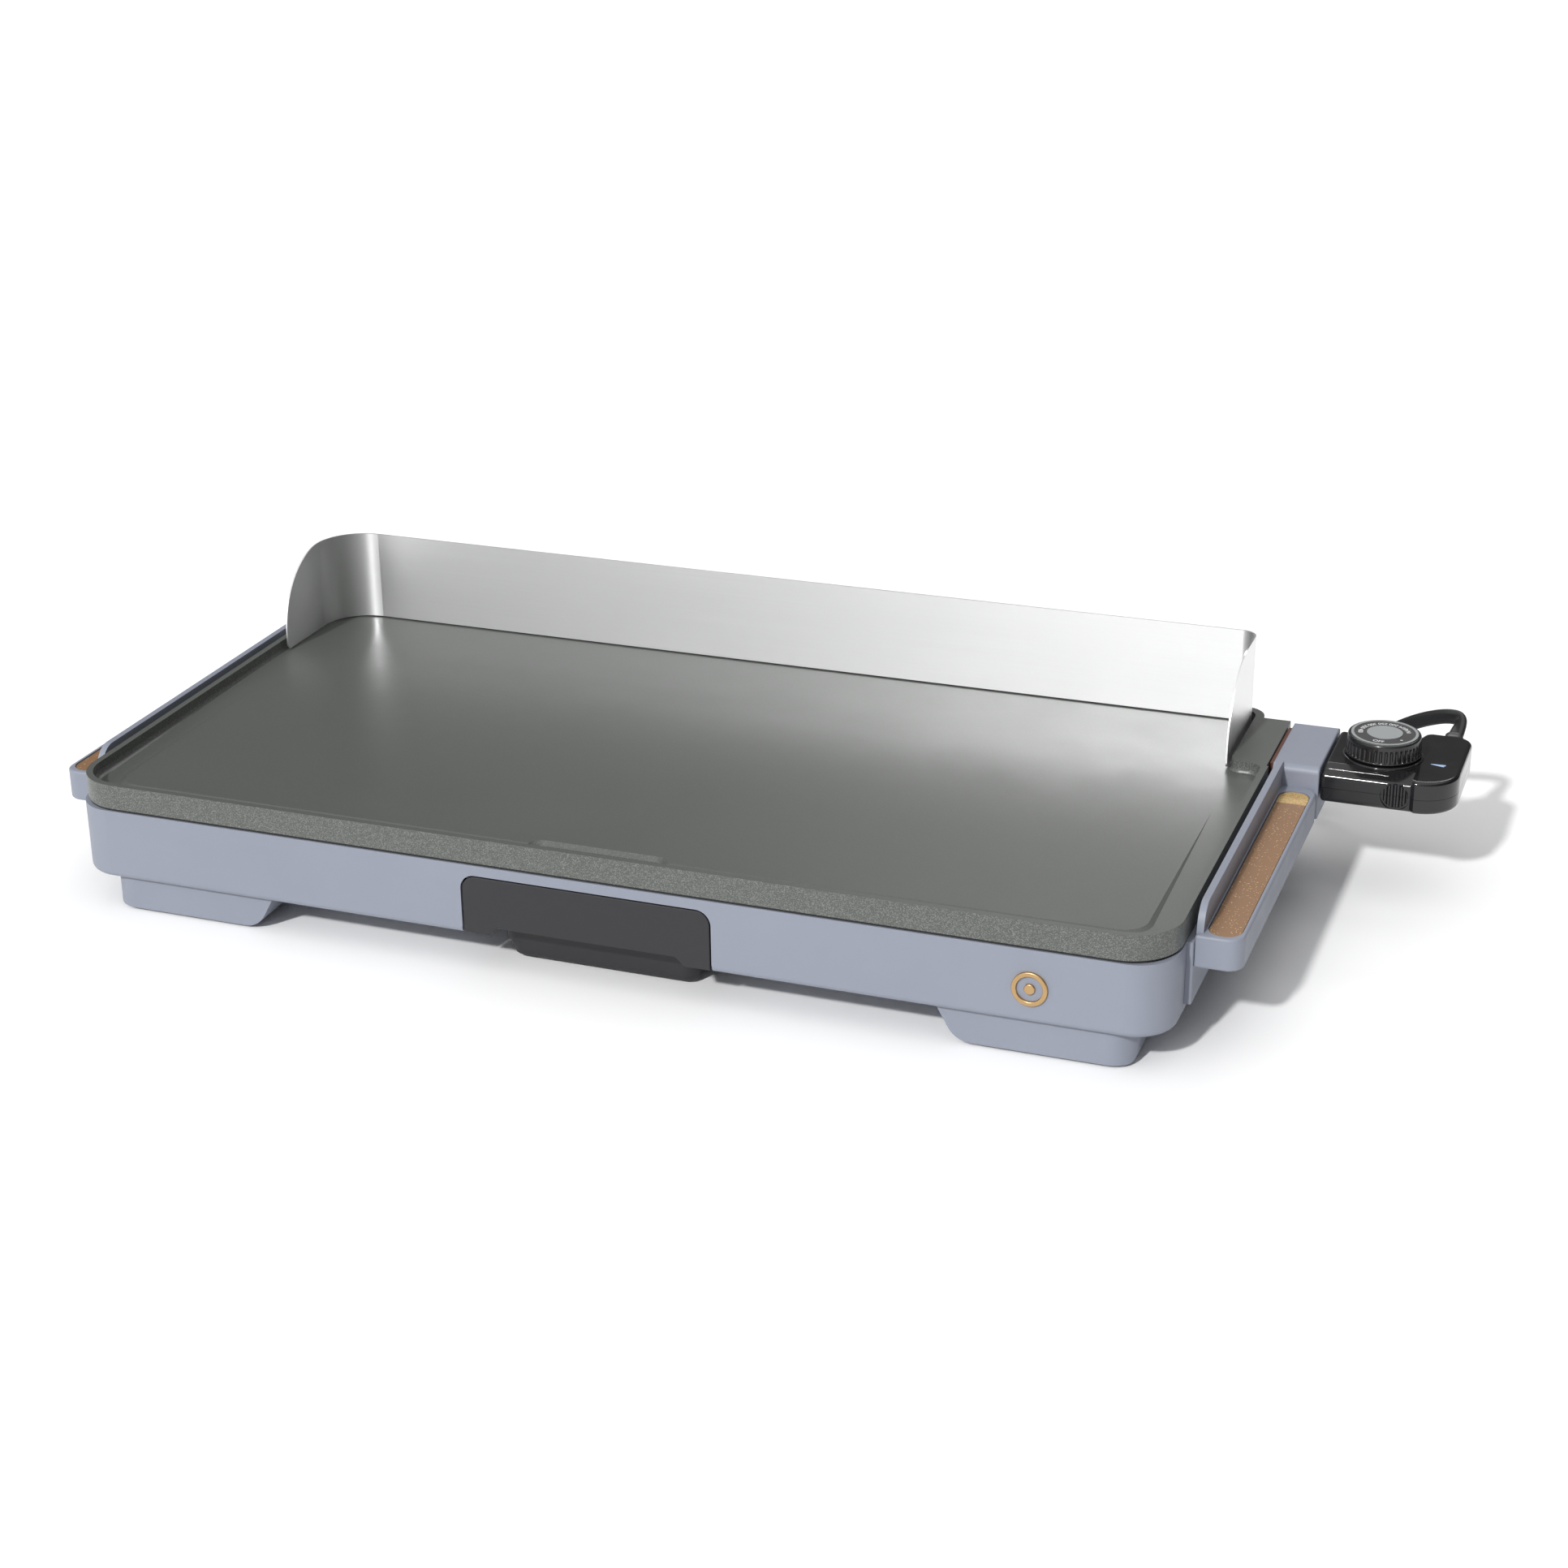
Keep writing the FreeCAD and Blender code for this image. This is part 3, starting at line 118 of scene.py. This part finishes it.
# ---------------------------------------------------------------- materials
def new_material(name, colour, rough, metallic=0.0, specular=0.5):
    """A new material's parts: itself, nodes, links, shader and object coordinates."""
    mat = bpy.data.materials.new(name)
    mat.use_nodes = True
    nodes, links = mat.node_tree.nodes, mat.node_tree.links
    shader = nodes["Principled BSDF"]
    shader.inputs["Base Color"].default_value = (*colour, 1.0)
    shader.inputs["Roughness"].default_value = rough
    shader.inputs["Metallic"].default_value = metallic
    shader.inputs["Specular IOR Level"].default_value = specular
    coords = nodes.new("ShaderNodeTexCoord").outputs["Object"]
    return mat, nodes, links, shader, coords


def stretched(nodes, links, coords, scale):
    mapping = nodes.new("ShaderNodeMapping")
    mapping.inputs["Scale"].default_value = scale
    links.new(coords, mapping.inputs["Vector"])
    return mapping.outputs["Vector"]


def noise_value(nodes, links, vector, scale, detail=3.0, rough=0.6):
    texture = nodes.new("ShaderNodeTexNoise")
    texture.inputs["Scale"].default_value = scale
    texture.inputs["Detail"].default_value = detail
    texture.inputs["Roughness"].default_value = rough
    links.new(vector, texture.inputs["Vector"])
    return texture.outputs["Fac"]


def remap(nodes, links, value, low, high, to_low, to_high):
    node = nodes.new("ShaderNodeMapRange")
    node.inputs["From Min"].default_value = low
    node.inputs["From Max"].default_value = high
    node.inputs["To Min"].default_value = to_low
    node.inputs["To Max"].default_value = to_high
    links.new(value, node.inputs["Value"])
    return node.outputs["Result"]


def mix_colour(nodes, links, factor, first, second):
    node = nodes.new("ShaderNodeMix")
    node.data_type = "RGBA"
    links.new(factor, node.inputs["Factor"])
    for socket, colour in (("A", first), ("B", second)):
        target = [s for s in node.inputs if s.name == socket and s.type == "RGBA"][0]
        if isinstance(colour, bpy.types.NodeSocket):
            links.new(colour, target)
        else:
            target.default_value = (*colour, 1.0)
    return [s for s in node.outputs if s.type == "RGBA"][0]


def add_bump(nodes, links, shader, height, strength, distance):
    bump = nodes.new("ShaderNodeBump")
    bump.inputs["Strength"].default_value = strength
    bump.inputs["Distance"].default_value = distance
    links.new(height, bump.inputs["Height"])
    links.new(bump.outputs["Normal"], shader.inputs["Normal"])


def varied(colour, amount):
    return tuple(max(0.0, c * (1 + amount)) for c in colour)


def moulded_plastic(name, colour, rough, grain=0.35, grain_scale=2600.0, specular=0.5, coat=0.0,
                    tone=0.06):
    """Moulded plastic: fine spark-eroded grain, faint cloudiness and slightly uneven gloss."""
    mat, nodes, links, shader, coords = new_material(name, colour, rough, specular=specular)
    cloud = noise_value(nodes, links, coords, 14.0)
    links.new(mix_colour(nodes, links, cloud, varied(colour, -tone), varied(colour, tone)),
              shader.inputs["Base Color"])
    smear = noise_value(nodes, links, coords, 55.0)
    links.new(remap(nodes, links, smear, 0.3, 0.7, rough - 0.05, rough + 0.05),
              shader.inputs["Roughness"])
    add_bump(nodes, links, shader, noise_value(nodes, links, coords, grain_scale, 2.0), grain, 0.00003)
    shader.inputs["Coat Weight"].default_value = coat
    shader.inputs["Coat Roughness"].default_value = 0.05
    return mat


def speckle_cells(nodes, links, coords, scale, share):
    """Above 0, and mostly 1, in the given share of tiny cells, and 0 in the others."""
    cells = nodes.new("ShaderNodeTexVoronoi")
    cells.inputs["Scale"].default_value = scale
    links.new(coords, cells.inputs["Vector"])
    channels = nodes.new("ShaderNodeSeparateColor")
    links.new(cells.outputs["Color"], channels.inputs["Color"])
    return remap(nodes, links, channels.outputs["Red"], 1 - share, 1 - share * 0.6, 0.0, 1.0)


def combine(nodes, links, first, second, operation="MULTIPLY"):
    """Two values multiplied, or joined by another operation of the Math node."""
    node = nodes.new("ShaderNodeMath")
    node.operation = operation
    links.new(first, node.inputs[0])
    links.new(second, node.inputs[1])
    return node.outputs["Value"]


def steepness(nodes, links):
    """Low on level faces and 1 on upright ones."""
    split = nodes.new("ShaderNodeSeparateXYZ")
    links.new(nodes.new("ShaderNodeNewGeometry").outputs["Normal"], split.inputs["Vector"])
    return remap(nodes, links, split.outputs["Z"], 0.35, 0.95, 1.0, 0.12)


def plate_coating():
    """Satin non-stick coating, almost even on the cooking surface, with painted glints on the rim's wall:
    lighter speckles on upright faces only.
    """
    colour, glint_colour = (0.076, 0.082, 0.075), (0.165, 0.172, 0.162)
    mat, nodes, links, shader, coords = new_material("plate_coating", colour, 0.36)
    # painted glints: lighter speckles where faces are upright, none on the level cooking surface
    spots = combine(nodes, links, speckle_cells(nodes, links, coords, 3000.0, 0.34), steepness(nodes, links))
    cloud = noise_value(nodes, links, coords, 5.0, 2.0)
    base = mix_colour(nodes, links, cloud, varied(colour, -0.05), varied(colour, 0.05))
    links.new(mix_colour(nodes, links, spots, base, glint_colour), shader.inputs["Base Color"])
    smear = noise_value(nodes, links, coords, 18.0)
    links.new(remap(nodes, links, smear, 0.3, 0.7, 0.34, 0.40), shader.inputs["Roughness"])
    add_bump(nodes, links, shader, noise_value(nodes, links, coords, 1500.0, 3.0), 0.18, 0.00003)
    return mat


def bronze_with_painted_reflection():
    """Metallic bronze paint with fine glitter; at the right grip's end next to the terminal block, a
    lighter, more golden painted reflection.
    """
    colour, reflection_tint, glitter = (0.262, 0.143, 0.070), (0.50, 0.335, 0.125), (0.66, 0.47, 0.25)
    mat, nodes, links, shader, coords = new_material("bronze_inlay", colour, 0.42, 0.25)
    place = nodes.new("ShaderNodeSeparateXYZ")
    links.new(coords, place.inputs["Vector"])
    # mask of the painted reflection: the inlay's far end, on the right grip only
    far = remap(nodes, links, place.outputs["Y"], REFLECTION_START_Y - 0.0003, REFLECTION_START_Y + 0.0003, 0.0, 1.0)
    right = remap(nodes, links, place.outputs["X"], -0.01, 0.01, 0.0, 1.0)
    painted_reflection = combine(nodes, links, far, right)
    cloud = noise_value(nodes, links, coords, 30.0)
    base = mix_colour(nodes, links, cloud, varied(colour, -0.05), varied(colour, 0.05))
    ripple = noise_value(nodes, links, coords, 900.0, 2.0)
    ripple = remap(nodes, links, ripple, 0.38, 0.62, 0.0, 1.0)
    reflection_colour = mix_colour(nodes, links, ripple, varied(reflection_tint, -0.22), varied(reflection_tint, 0.30))
    base = mix_colour(nodes, links, painted_reflection, base, reflection_colour)
    spots = speckle_cells(nodes, links, coords, 2300.0, 0.03)
    links.new(mix_colour(nodes, links, spots, base, glitter), shader.inputs["Base Color"])
    links.new(remap(nodes, links, painted_reflection, 0.0, 1.0, 0.44, 0.34), shader.inputs["Roughness"])
    add_bump(nodes, links, shader, noise_value(nodes, links, coords, 1300.0, 2.0), 0.22, 0.00004)
    return mat


def guard_steel():
    """Sheet brushed along its length, so that reflections are drawn out upwards."""
    colour = (0.83, 0.83, 0.835)
    mat, nodes, links, shader, coords = new_material("brushed_steel", colour, 0.30, 1.0)
    lines = noise_value(nodes, links, stretched(nodes, links, coords, (7.0, 7.0, 2600.0)), 1.0, 4.0, 0.7)
    links.new(mix_colour(nodes, links, lines, varied(colour, -0.04), varied(colour, 0.04)),
              shader.inputs["Base Color"])
    links.new(remap(nodes, links, lines, 0.25, 0.75, 0.30, 0.35), shader.inputs["Roughness"])
    add_bump(nodes, links, shader, lines, 0.06, 0.00002)
    shader.inputs["Anisotropic"].default_value = 0.80
    shader.inputs["Anisotropic Rotation"].default_value = 0.25
    tangent = nodes.new("ShaderNodeTangent")
    tangent.direction_type = "RADIAL"
    tangent.axis = "Z"
    links.new(tangent.outputs["Tangent"], shader.inputs["Tangent"])
    return mat


def brushed_metal(name, colour, rough, scale, metallic=1.0):
    """Metal with long fine brush lines along the axes with the small scale."""
    mat, nodes, links, shader, coords = new_material(name, colour, rough, metallic)
    lines = noise_value(nodes, links, stretched(nodes, links, coords, scale), 1.0, 4.0, 0.7)
    links.new(mix_colour(nodes, links, lines, varied(colour, -0.035), varied(colour, 0.03)),
              shader.inputs["Base Color"])
    links.new(remap(nodes, links, lines, 0.25, 0.75, rough - 0.04, rough + 0.05),
              shader.inputs["Roughness"])
    add_bump(nodes, links, shader, lines, 0.12, 0.00002)
    return mat


def plain_metal(name, colour, rough):
    """Turned or rolled metal: faint stains and uneven gloss."""
    mat, nodes, links, shader, coords = new_material(name, colour, rough, 1.0)
    stain = noise_value(nodes, links, coords, 90.0, 4.0)
    links.new(mix_colour(nodes, links, stain, varied(colour, -0.12), varied(colour, 0.06)),
              shader.inputs["Base Color"])
    links.new(remap(nodes, links, stain, 0.3, 0.7, rough - 0.06, rough + 0.10),
              shader.inputs["Roughness"])
    add_bump(nodes, links, shader, noise_value(nodes, links, coords, 900.0), 0.1, 0.00004)
    return mat


def lens_material():
    """Bluish lamp window with a faint haze and a glossy coat."""
    mat, nodes, links, shader, coords = new_material("lamp_glass", (0.42, 0.56, 0.86), 0.12)
    haze = noise_value(nodes, links, coords, 240.0)
    links.new(mix_colour(nodes, links, haze, (0.30, 0.44, 0.80), (0.62, 0.74, 0.95)),
              shader.inputs["Base Color"])
    shader.inputs["Coat Weight"].default_value = 0.6
    shader.inputs["Subsurface Weight"].default_value = 0.15
    shader.inputs["Subsurface Scale"].default_value = 0.002
    return mat


# the painted reflection, a golden patch on the end of the right grip's inlay, starts here
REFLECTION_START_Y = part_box("right_handle_inlay")[1].y - 0.0150
MATERIALS = {
    "plate_coating": plate_coating(),
    "body_plastic": moulded_plastic("body_plastic", (0.222, 0.240, 0.292), 0.50),
    "bronze_inlay": bronze_with_painted_reflection(),
    "gold_trim": plain_metal("gold_trim", (0.56, 0.37, 0.18), 0.36),
    "brushed_steel": guard_steel(),
    "steel": plain_metal("steel", (0.55, 0.55, 0.57), 0.34),
    "reflector": brushed_metal("reflector", (0.72, 0.72, 0.73), 0.36, (3.0, 900.0, 900.0)),
    "tray_plastic": moulded_plastic("tray_plastic", (0.029, 0.029, 0.032), 0.55, specular=0.3),
    "rubber": moulded_plastic("rubber", (0.020, 0.020, 0.021), 0.72),
    "insulator": moulded_plastic("insulator", (0.090, 0.028, 0.016), 0.55, grain_scale=900.0, tone=0.2),
    "phenolic": moulded_plastic("phenolic", (0.030, 0.028, 0.026), 0.42, grain_scale=900.0, tone=0.2),
    "brass": plain_metal("brass", (0.78, 0.56, 0.26), 0.30),
    "probe_plastic": moulded_plastic("probe_plastic", (0.009, 0.009, 0.010), 0.12, 0.03, 500.0, coat=0.2),
    "lamp_glass": lens_material(),
    "knob_plastic": moulded_plastic("knob_plastic", (0.010, 0.010, 0.010), 0.24, 0.1, 1500.0, coat=0.25),
    "silver_trim": brushed_metal("silver_trim", (0.36, 0.38, 0.385), 0.44, (900.0, 3.0, 900.0),
                                 metallic=0.7),
    "dial_face": moulded_plastic("dial_face", (0.030, 0.030, 0.031), 0.45),
    "cord_jacket": moulded_plastic("cord_jacket", (0.016, 0.016, 0.017), 0.36, 0.3, 1400.0),
    "tie_band": moulded_plastic("tie_band", (0.030, 0.030, 0.032), 0.80, 0.8, 1600.0),
}
SLOT_OF = {entry["node"]: entry["material_slot"] for entry in frame["record"]["subparts"]}


def dress_cad_nodes():
    for name, obj in NODES.items():
        obj.data.materials.clear()
        obj.data.materials.append(MATERIALS[SLOT_OF[name]])


dress_cad_nodes()


# ---------------------------------------------------------------- mains lead
# flat twin lead: the route's points, then its coil, then the run to the plug, in metres
CORD_WIDTH = 0.008
CORD_THICK = 0.0042
CORD_ROUTE = [(0.3321, 0.1492, 0.0620), (0.3328, 0.1570, 0.0645), (0.3343, 0.1675, 0.0697),
              (0.3246, 0.1711, 0.0688), (0.3091, 0.1762, 0.0618), (0.2931, 0.1822, 0.0500),
              (0.2801, 0.1872, 0.0335), (0.2661, 0.1877, 0.0170), (0.2471, 0.1802, 0.0060),
              (0.2241, 0.1722, 0.0048), (0.1961, 0.1662, 0.0048)]
CORD_TAIL = [(0.1381, 0.1654, 0.0116), (0.1161, 0.1672, 0.0098), (0.0971, 0.1680, 0.0086)]
COIL_CENTRE = Vector((0.1611, 0.2062, 0.0))
COIL_START = math.radians(-80.0)
COIL_SWEEP = math.radians(735.0)
POINTS_PER_TURN = 24
COIL_RADIUS = 0.0452
COIL_DRAW_IN = 0.0046      # over the first turn
COIL_SPREAD = 0.0024       # over the second turn
COIL_FLOOR = 0.0048        # height of the first turn's middle
COIL_CLIMB = 0.0080        # onto the first turn
COIL_CLIMB_TURNS = 0.45
CORD_TWIST_LENGTH = 0.030  # the lead turns on edge along this length
LOBE_ARC = 236             # degrees of each strand's outline


def ease(t):
    """Rises smoothly from 0 to 1 as t does."""
    t = min(max(t, 0.0), 1.0)
    return t * t * (3 - 2 * t)


def coil_points():
    """Two turns, wound inwards on the worktop and then up onto the first turn."""
    count = round(POINTS_PER_TURN * COIL_SWEEP / math.tau)
    points = []
    for i in range(count + 1):
        turned = COIL_SWEEP * i / count
        turns = turned / math.tau
        radius = COIL_RADIUS - COIL_DRAW_IN * ease(turns) + COIL_SPREAD * ease(turns - 1.0)
        height = COIL_FLOOR + COIL_CLIMB * ease((turns - 1.0) / COIL_CLIMB_TURNS)
        angle = COIL_START - turned
        spoke = Vector((radius * math.cos(angle), radius * math.sin(angle), height))
        points.append(COIL_CENTRE + spoke)
    return points


def nurbs_line(name, points):
    """Points along the NURBS spline that has the given points as its control points."""
    data = bpy.data.curves.new(name, "CURVE")
    data.dimensions = "3D"
    spline = data.splines.new("NURBS")
    spline.points.add(len(points) - 1)
    for control, point in zip(spline.points, points):
        control.co = (*point, 1.0)
    spline.order_u = 3
    spline.use_endpoint_u = True
    spline.resolution_u = 8
    obj = bpy.data.objects.new(name, data)
    line = [vertex.co.copy() for vertex in bpy.data.meshes.new_from_object(obj).vertices]
    bpy.data.objects.remove(obj)
    bpy.data.curves.remove(data)
    return line


def twin_section(lobe_points=14):
    """Outline of the flat twin lead: two round strands with a groove between them."""
    radius = CORD_THICK / 2
    offset = CORD_WIDTH / 2 - radius
    outline = []
    for side in (1, -1):
        for i in range(lobe_points):
            angle = math.radians(-LOBE_ARC / 2 + LOBE_ARC * i / (lobe_points - 1))
            outline.append((side * (offset + radius * math.cos(angle)),
                            side * radius * math.sin(angle)))
    return outline


def sweep_twin(line):
    """Tube of the twin section; its width turns from level at the exit to upright."""
    bm = bmesh.new()
    rings = []
    travelled = 0.0
    outline = twin_section()
    for i, point in enumerate(line):
        tangent = (line[min(i + 1, len(line) - 1)] - line[max(i - 1, 0)]).normalized()
        turn = ease(travelled / CORD_TWIST_LENGTH)
        wide = Vector((1, 0, 0)) * (1 - turn) + UP * turn
        wide = (wide - tangent * wide.dot(tangent)).normalized()
        thin = tangent.cross(wide)
        rings.append([bm.verts.new(point + wide * a + thin * b) for a, b in outline])
        if i + 1 < len(line):
            travelled += (line[i + 1] - point).length
    bridge_rings(bm, rings)
    return bm


# the moulded boot that the lead leaves, from inside the shells to its tip
BOOT_START_Y = 0.1292
BOOT_END_Y = 0.1552
BOOT_HALF = (0.0060, 0.0040)
BOOT_TIP_HALF = (0.0047, 0.0029)
BOOT_SIDES = 32
BOOT_SQUARENESS = 0.7  # 1 is an ellipse
BOOT_RISE = 0.28       # how steeply its middle rises outside the exit
BOOT_EDGE = 0.0006     # length of the rounding at each end
BOOT_COLLAR = 0.0012   # plain length outside the shell, before the ribs
BOOT_PLAIN = 0.0028    # the collar and the tip together
BOOT_RIBS = 5
BOOT_FLANGE = [(0.1336, 1.0), (0.1338, 1.18), (0.1360, 1.18), (0.1362, 1.0)]  # (y, share)
BOOT_GROOVE = [(0.0004, 0.84), (0.0011, 0.82), (0.0016, 1.0)]  # (length from a rib's start, share)


def boot_ring(bm, y, share):
    """Rounded ring of the boot at y; share scales it, 1 on a rib's crest."""
    along = (y - BOOT_START_Y) / (BOOT_END_Y - BOOT_START_Y)
    half = [low + (high - low) * along for low, high in zip(BOOT_HALF, BOOT_TIP_HALF)]
    exit_point = Vector(CORD_ROUTE[0])
    lift = BOOT_RISE * max(0.0, y - exit_point.y)
    ring = []
    for i in range(BOOT_SIDES):
        angle = math.tau * i / BOOT_SIDES
        corner = [math.copysign(abs(part) ** BOOT_SQUARENESS, part)
                  for part in (math.cos(angle), math.sin(angle))]
        ring.append(bm.verts.new((exit_point.x + share * half[0] * corner[0], y,
                                  exit_point.z + lift + share * half[1] * corner[1])))
    return ring


def make_boot():
    """Tapered sleeve with bending ribs outside the shell and a flange held between the shells."""
    shell_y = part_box("probe_upper_shell")[1].y
    bm = bmesh.new()
    profile = [(BOOT_START_Y, 0.92), (BOOT_START_Y + BOOT_EDGE, 1.0), *BOOT_FLANGE,
               (shell_y + BOOT_COLLAR, 1.0)]
    pitch = (BOOT_END_Y - shell_y - BOOT_PLAIN) / BOOT_RIBS
    for i in range(BOOT_RIBS):
        start = shell_y + BOOT_COLLAR + pitch * i
        profile += [(start + step, share) for step, share in BOOT_GROOVE]
        profile.append((start + pitch - 0.0001, 1.0))
    profile += [(BOOT_END_Y - BOOT_EDGE, 0.99), (BOOT_END_Y, 0.93)]
    bridge_rings(bm, [boot_ring(bm, y, share) for y, share in profile])
    return finish_piece(add_mesh("lead_boot", bm, 35.0), "probe",
                        MATERIALS["cord_jacket"], ("strain_relief",))


def make_cord(boot):
    """The flat lead from the boot to the plug, with its coil, as one tube."""
    line = nurbs_line("cord_line", CORD_ROUTE + coil_points() + CORD_TAIL)
    cord = finish_piece(add_mesh("mains_lead", sweep_twin(line), 70.0), "probe",
                        MATERIALS["cord_jacket"], ("power_cord", "power_cord_end", "cord_coil"))


make_cord(make_boot())


# ---------------------------------------------------------------- control knob
KNOB_LOW, KNOB_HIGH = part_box("control_knob")
KNOB_AXIS = (KNOB_LOW + KNOB_HIGH) / 2
KNOB_R = (KNOB_HIGH.x - KNOB_LOW.x) / 2
KNOB_RIBS = 44
COLUMNS_PER_RIB = 10
RIB_DEPTH = 0.00062
FLUTE_SHARE = 0.15     # of a rib's wave, flat at the bottom of the flute
SHOULDER_SHARE = 0.55  # of a rib's wave, from the flute up to the crest
# (how far inside KNOB_R, height above the knob's underside, share of the rib depth)
KNOB_PROFILE = [(0.0132, 0.00002, 0), (0.0008, 0.00002, 0), (0.0002, 0.0003, 0), (0.0001, 0.0008, 0),
                (0.0003, 0.0011, 0), (0.0003, 0.0013, 1), (0.00035, 0.0030, 1), (0.00045, 0.0050, 1),
                (0.00055, 0.0066, 1), (0.00060, 0.0073, 0.7), (0.00064, 0.0076, 0), (0.00075, 0.0088, 0),
                (0.00085, 0.0098, 0), (0.00105, 0.0103, 0), (0.00145, 0.0106, 0), (0.0019, 0.01068, 0),
                (0.0021, 0.01062, 0), (0.00225, 0.0104, 0), (0.0023, 0.0102, 0), (0.0132, 0.0102, 0)]


def rib_height(angle):
    """1 on a rib's crest and 0 in the flute beside it, with rounded shoulders."""
    wave = 0.5 + 0.5 * math.cos(angle * KNOB_RIBS)
    return ease((wave - FLUTE_SHARE) / SHOULDER_SHARE)


def make_knob():
    """The grip: a turned profile with flutes round its side."""
    columns = KNOB_RIBS * COLUMNS_PER_RIB
    bm = bmesh.new()
    rings = []
    for less, height, ribbed in KNOB_PROFILE:
        ring = []
        for i in range(columns):
            angle = math.tau * i / columns
            radius = KNOB_R - less - ribbed * RIB_DEPTH * (1 - rib_height(angle))
            ring.append(bm.verts.new((KNOB_AXIS.x + radius * math.cos(angle),
                                      KNOB_AXIS.y + radius * math.sin(angle), KNOB_LOW.z + height)))
        rings.append(ring)
    bridge_rings(bm, rings)
    finish_piece(add_mesh("knob_grip", bm, 50.0), "knob", MATERIALS["knob_plastic"],
                 ("control_knob",))


# (label, angle round the dial in degrees, counted from +X towards +Y)
DIAL_LABELS = [("OFF", -96), ("WARM", 38), ("200", 78), ("250", 104), ("300", 131), ("350", 157),
               ("400", 185), ("+", -38)]
LABEL_RADIUS = 0.0123
LABEL_SIZE = 0.0035
LABEL_SPACING = 0.95
MARK_LIFT = 0.00006


def label_mesh(text, angle, bm):
    """Adds a label to bm, bent round the dial with its feet outwards."""
    data = bpy.data.curves.new("label", "FONT")
    data.body = text
    data.size = LABEL_SIZE
    data.align_x = "CENTER"
    data.align_y = "CENTER"
    data.extrude = MARK_LIFT / 2
    data.space_character = LABEL_SPACING
    obj = bpy.data.objects.new("label", data)
    mesh = bpy.data.meshes.new_from_object(obj)
    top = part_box("knob_dial")[1].z
    for vertex in mesh.vertices:
        turn = math.radians(angle) + vertex.co.x / LABEL_RADIUS
        radius = LABEL_RADIUS - vertex.co.y
        vertex.co = (KNOB_AXIS.x + radius * math.cos(turn), KNOB_AXIS.y + radius * math.sin(turn),
                     top + vertex.co.z)
    bm.from_mesh(mesh)
    bpy.data.objects.remove(obj)
    bpy.data.curves.remove(data)
    bpy.data.meshes.remove(mesh)


def make_dial_marks():
    """The printing on the dial: generic words and round temperatures."""
    bm = bmesh.new()
    for text, angle in DIAL_LABELS:
        label_mesh(text, angle, bm)
    finish_piece(add_mesh("dial_marks", bm), "knob",
                 moulded_plastic("print_ink", (0.74, 0.74, 0.74), 0.5))


make_knob()
make_dial_marks()


# ---------------------------------------------------------------- stage
FLOOR_SIZE = 14.0
FLOOR_HEIGHT = -0.0002
KEY_STRENGTH = 2.6
KEY_ANGLE = math.radians(3.5)
KEY_DIRECTION = Vector((0.25, 1.3, -1.0))
STRIP_PLACE = Vector((0.0, 2.3, 1.75))
STRIP_SIZE = (1.6, 0.28)
STRIP_WATTS = 9.0
# strength of the surround: (from, to, value at from, value at to) of one part of the direction
BY_HEIGHT = (0.0, 0.8, 0.75, 0.42)
IN_FRONT = (-0.85, 0.0, 1.38, 0.26)
TO_RIGHT = (-0.7, 0.8, 1.32, 0.22)
OVERHEAD = (0.62, 0.85, 0.0, 0.95)


def make_stage():
    """A plain pale floor."""
    bpy.ops.mesh.primitive_plane_add(size=FLOOR_SIZE, location=(0, 0, FLOOR_HEIGHT))
    floor = bpy.context.object
    floor.name = "floor"
    mat, nodes, links, shader, coords = new_material("floor_paper", (0.93, 0.93, 0.93), 0.85, specular=0.2)
    links.new(mix_colour(nodes, links, noise_value(nodes, links, coords, 3.0), (0.925, 0.925, 0.925),
                         (0.935, 0.935, 0.935)), shader.inputs["Base Color"])
    floor.data.materials.append(mat)


def make_world():
    """Studio surround: bright in front, at the left and overhead, dim at the right and behind."""
    world = bpy.data.worlds.new("studio")
    bpy.context.scene.world = world
    world.use_nodes = True
    nodes, links = world.node_tree.nodes, world.node_tree.links
    direction = nodes.new("ShaderNodeTexCoord").outputs["Generated"]
    split = nodes.new("ShaderNodeSeparateXYZ")
    links.new(direction, split.inputs["Vector"])
    by_height = remap(nodes, links, split.outputs["Z"], *BY_HEIGHT)
    in_front = remap(nodes, links, split.outputs["Y"], *IN_FRONT)
    to_right = remap(nodes, links, split.outputs["X"], *TO_RIGHT)
    background = nodes["Background"]
    background.inputs["Color"].default_value = (1.0, 1.0, 1.0, 1.0)
    surround = combine(nodes, links, combine(nodes, links, by_height, in_front), to_right)
    overhead = remap(nodes, links, split.outputs["Z"], *OVERHEAD)
    links.new(combine(nodes, links, surround, overhead, "ADD"), background.inputs["Strength"])


def add_light(name, kind, energy, direction):
    """Links a light that shines along the direction."""
    data = bpy.data.lights.new(name, kind)
    data.energy = energy
    light = bpy.data.objects.new(name, data)
    bpy.context.scene.collection.objects.link(light)
    light.rotation_euler = direction.to_track_quat("-Z", "Y").to_euler()
    return light


def make_lights():
    """One fairly hard key from the front left, high up, and a weak strip behind for edges."""
    key = add_light("key", "SUN", KEY_STRENGTH, KEY_DIRECTION)
    key.data.angle = KEY_ANGLE
    strip = add_light("strip", "AREA", STRIP_WATTS, -STRIP_PLACE)
    strip.location = STRIP_PLACE
    strip.data.shape = "RECTANGLE"
    strip.data.size, strip.data.size_y = STRIP_SIZE


def set_view_colours():
    view = bpy.context.scene.view_settings
    view.view_transform = "Standard"
    view.look = "None"


make_world()
make_stage()
make_lights()
set_view_colours()
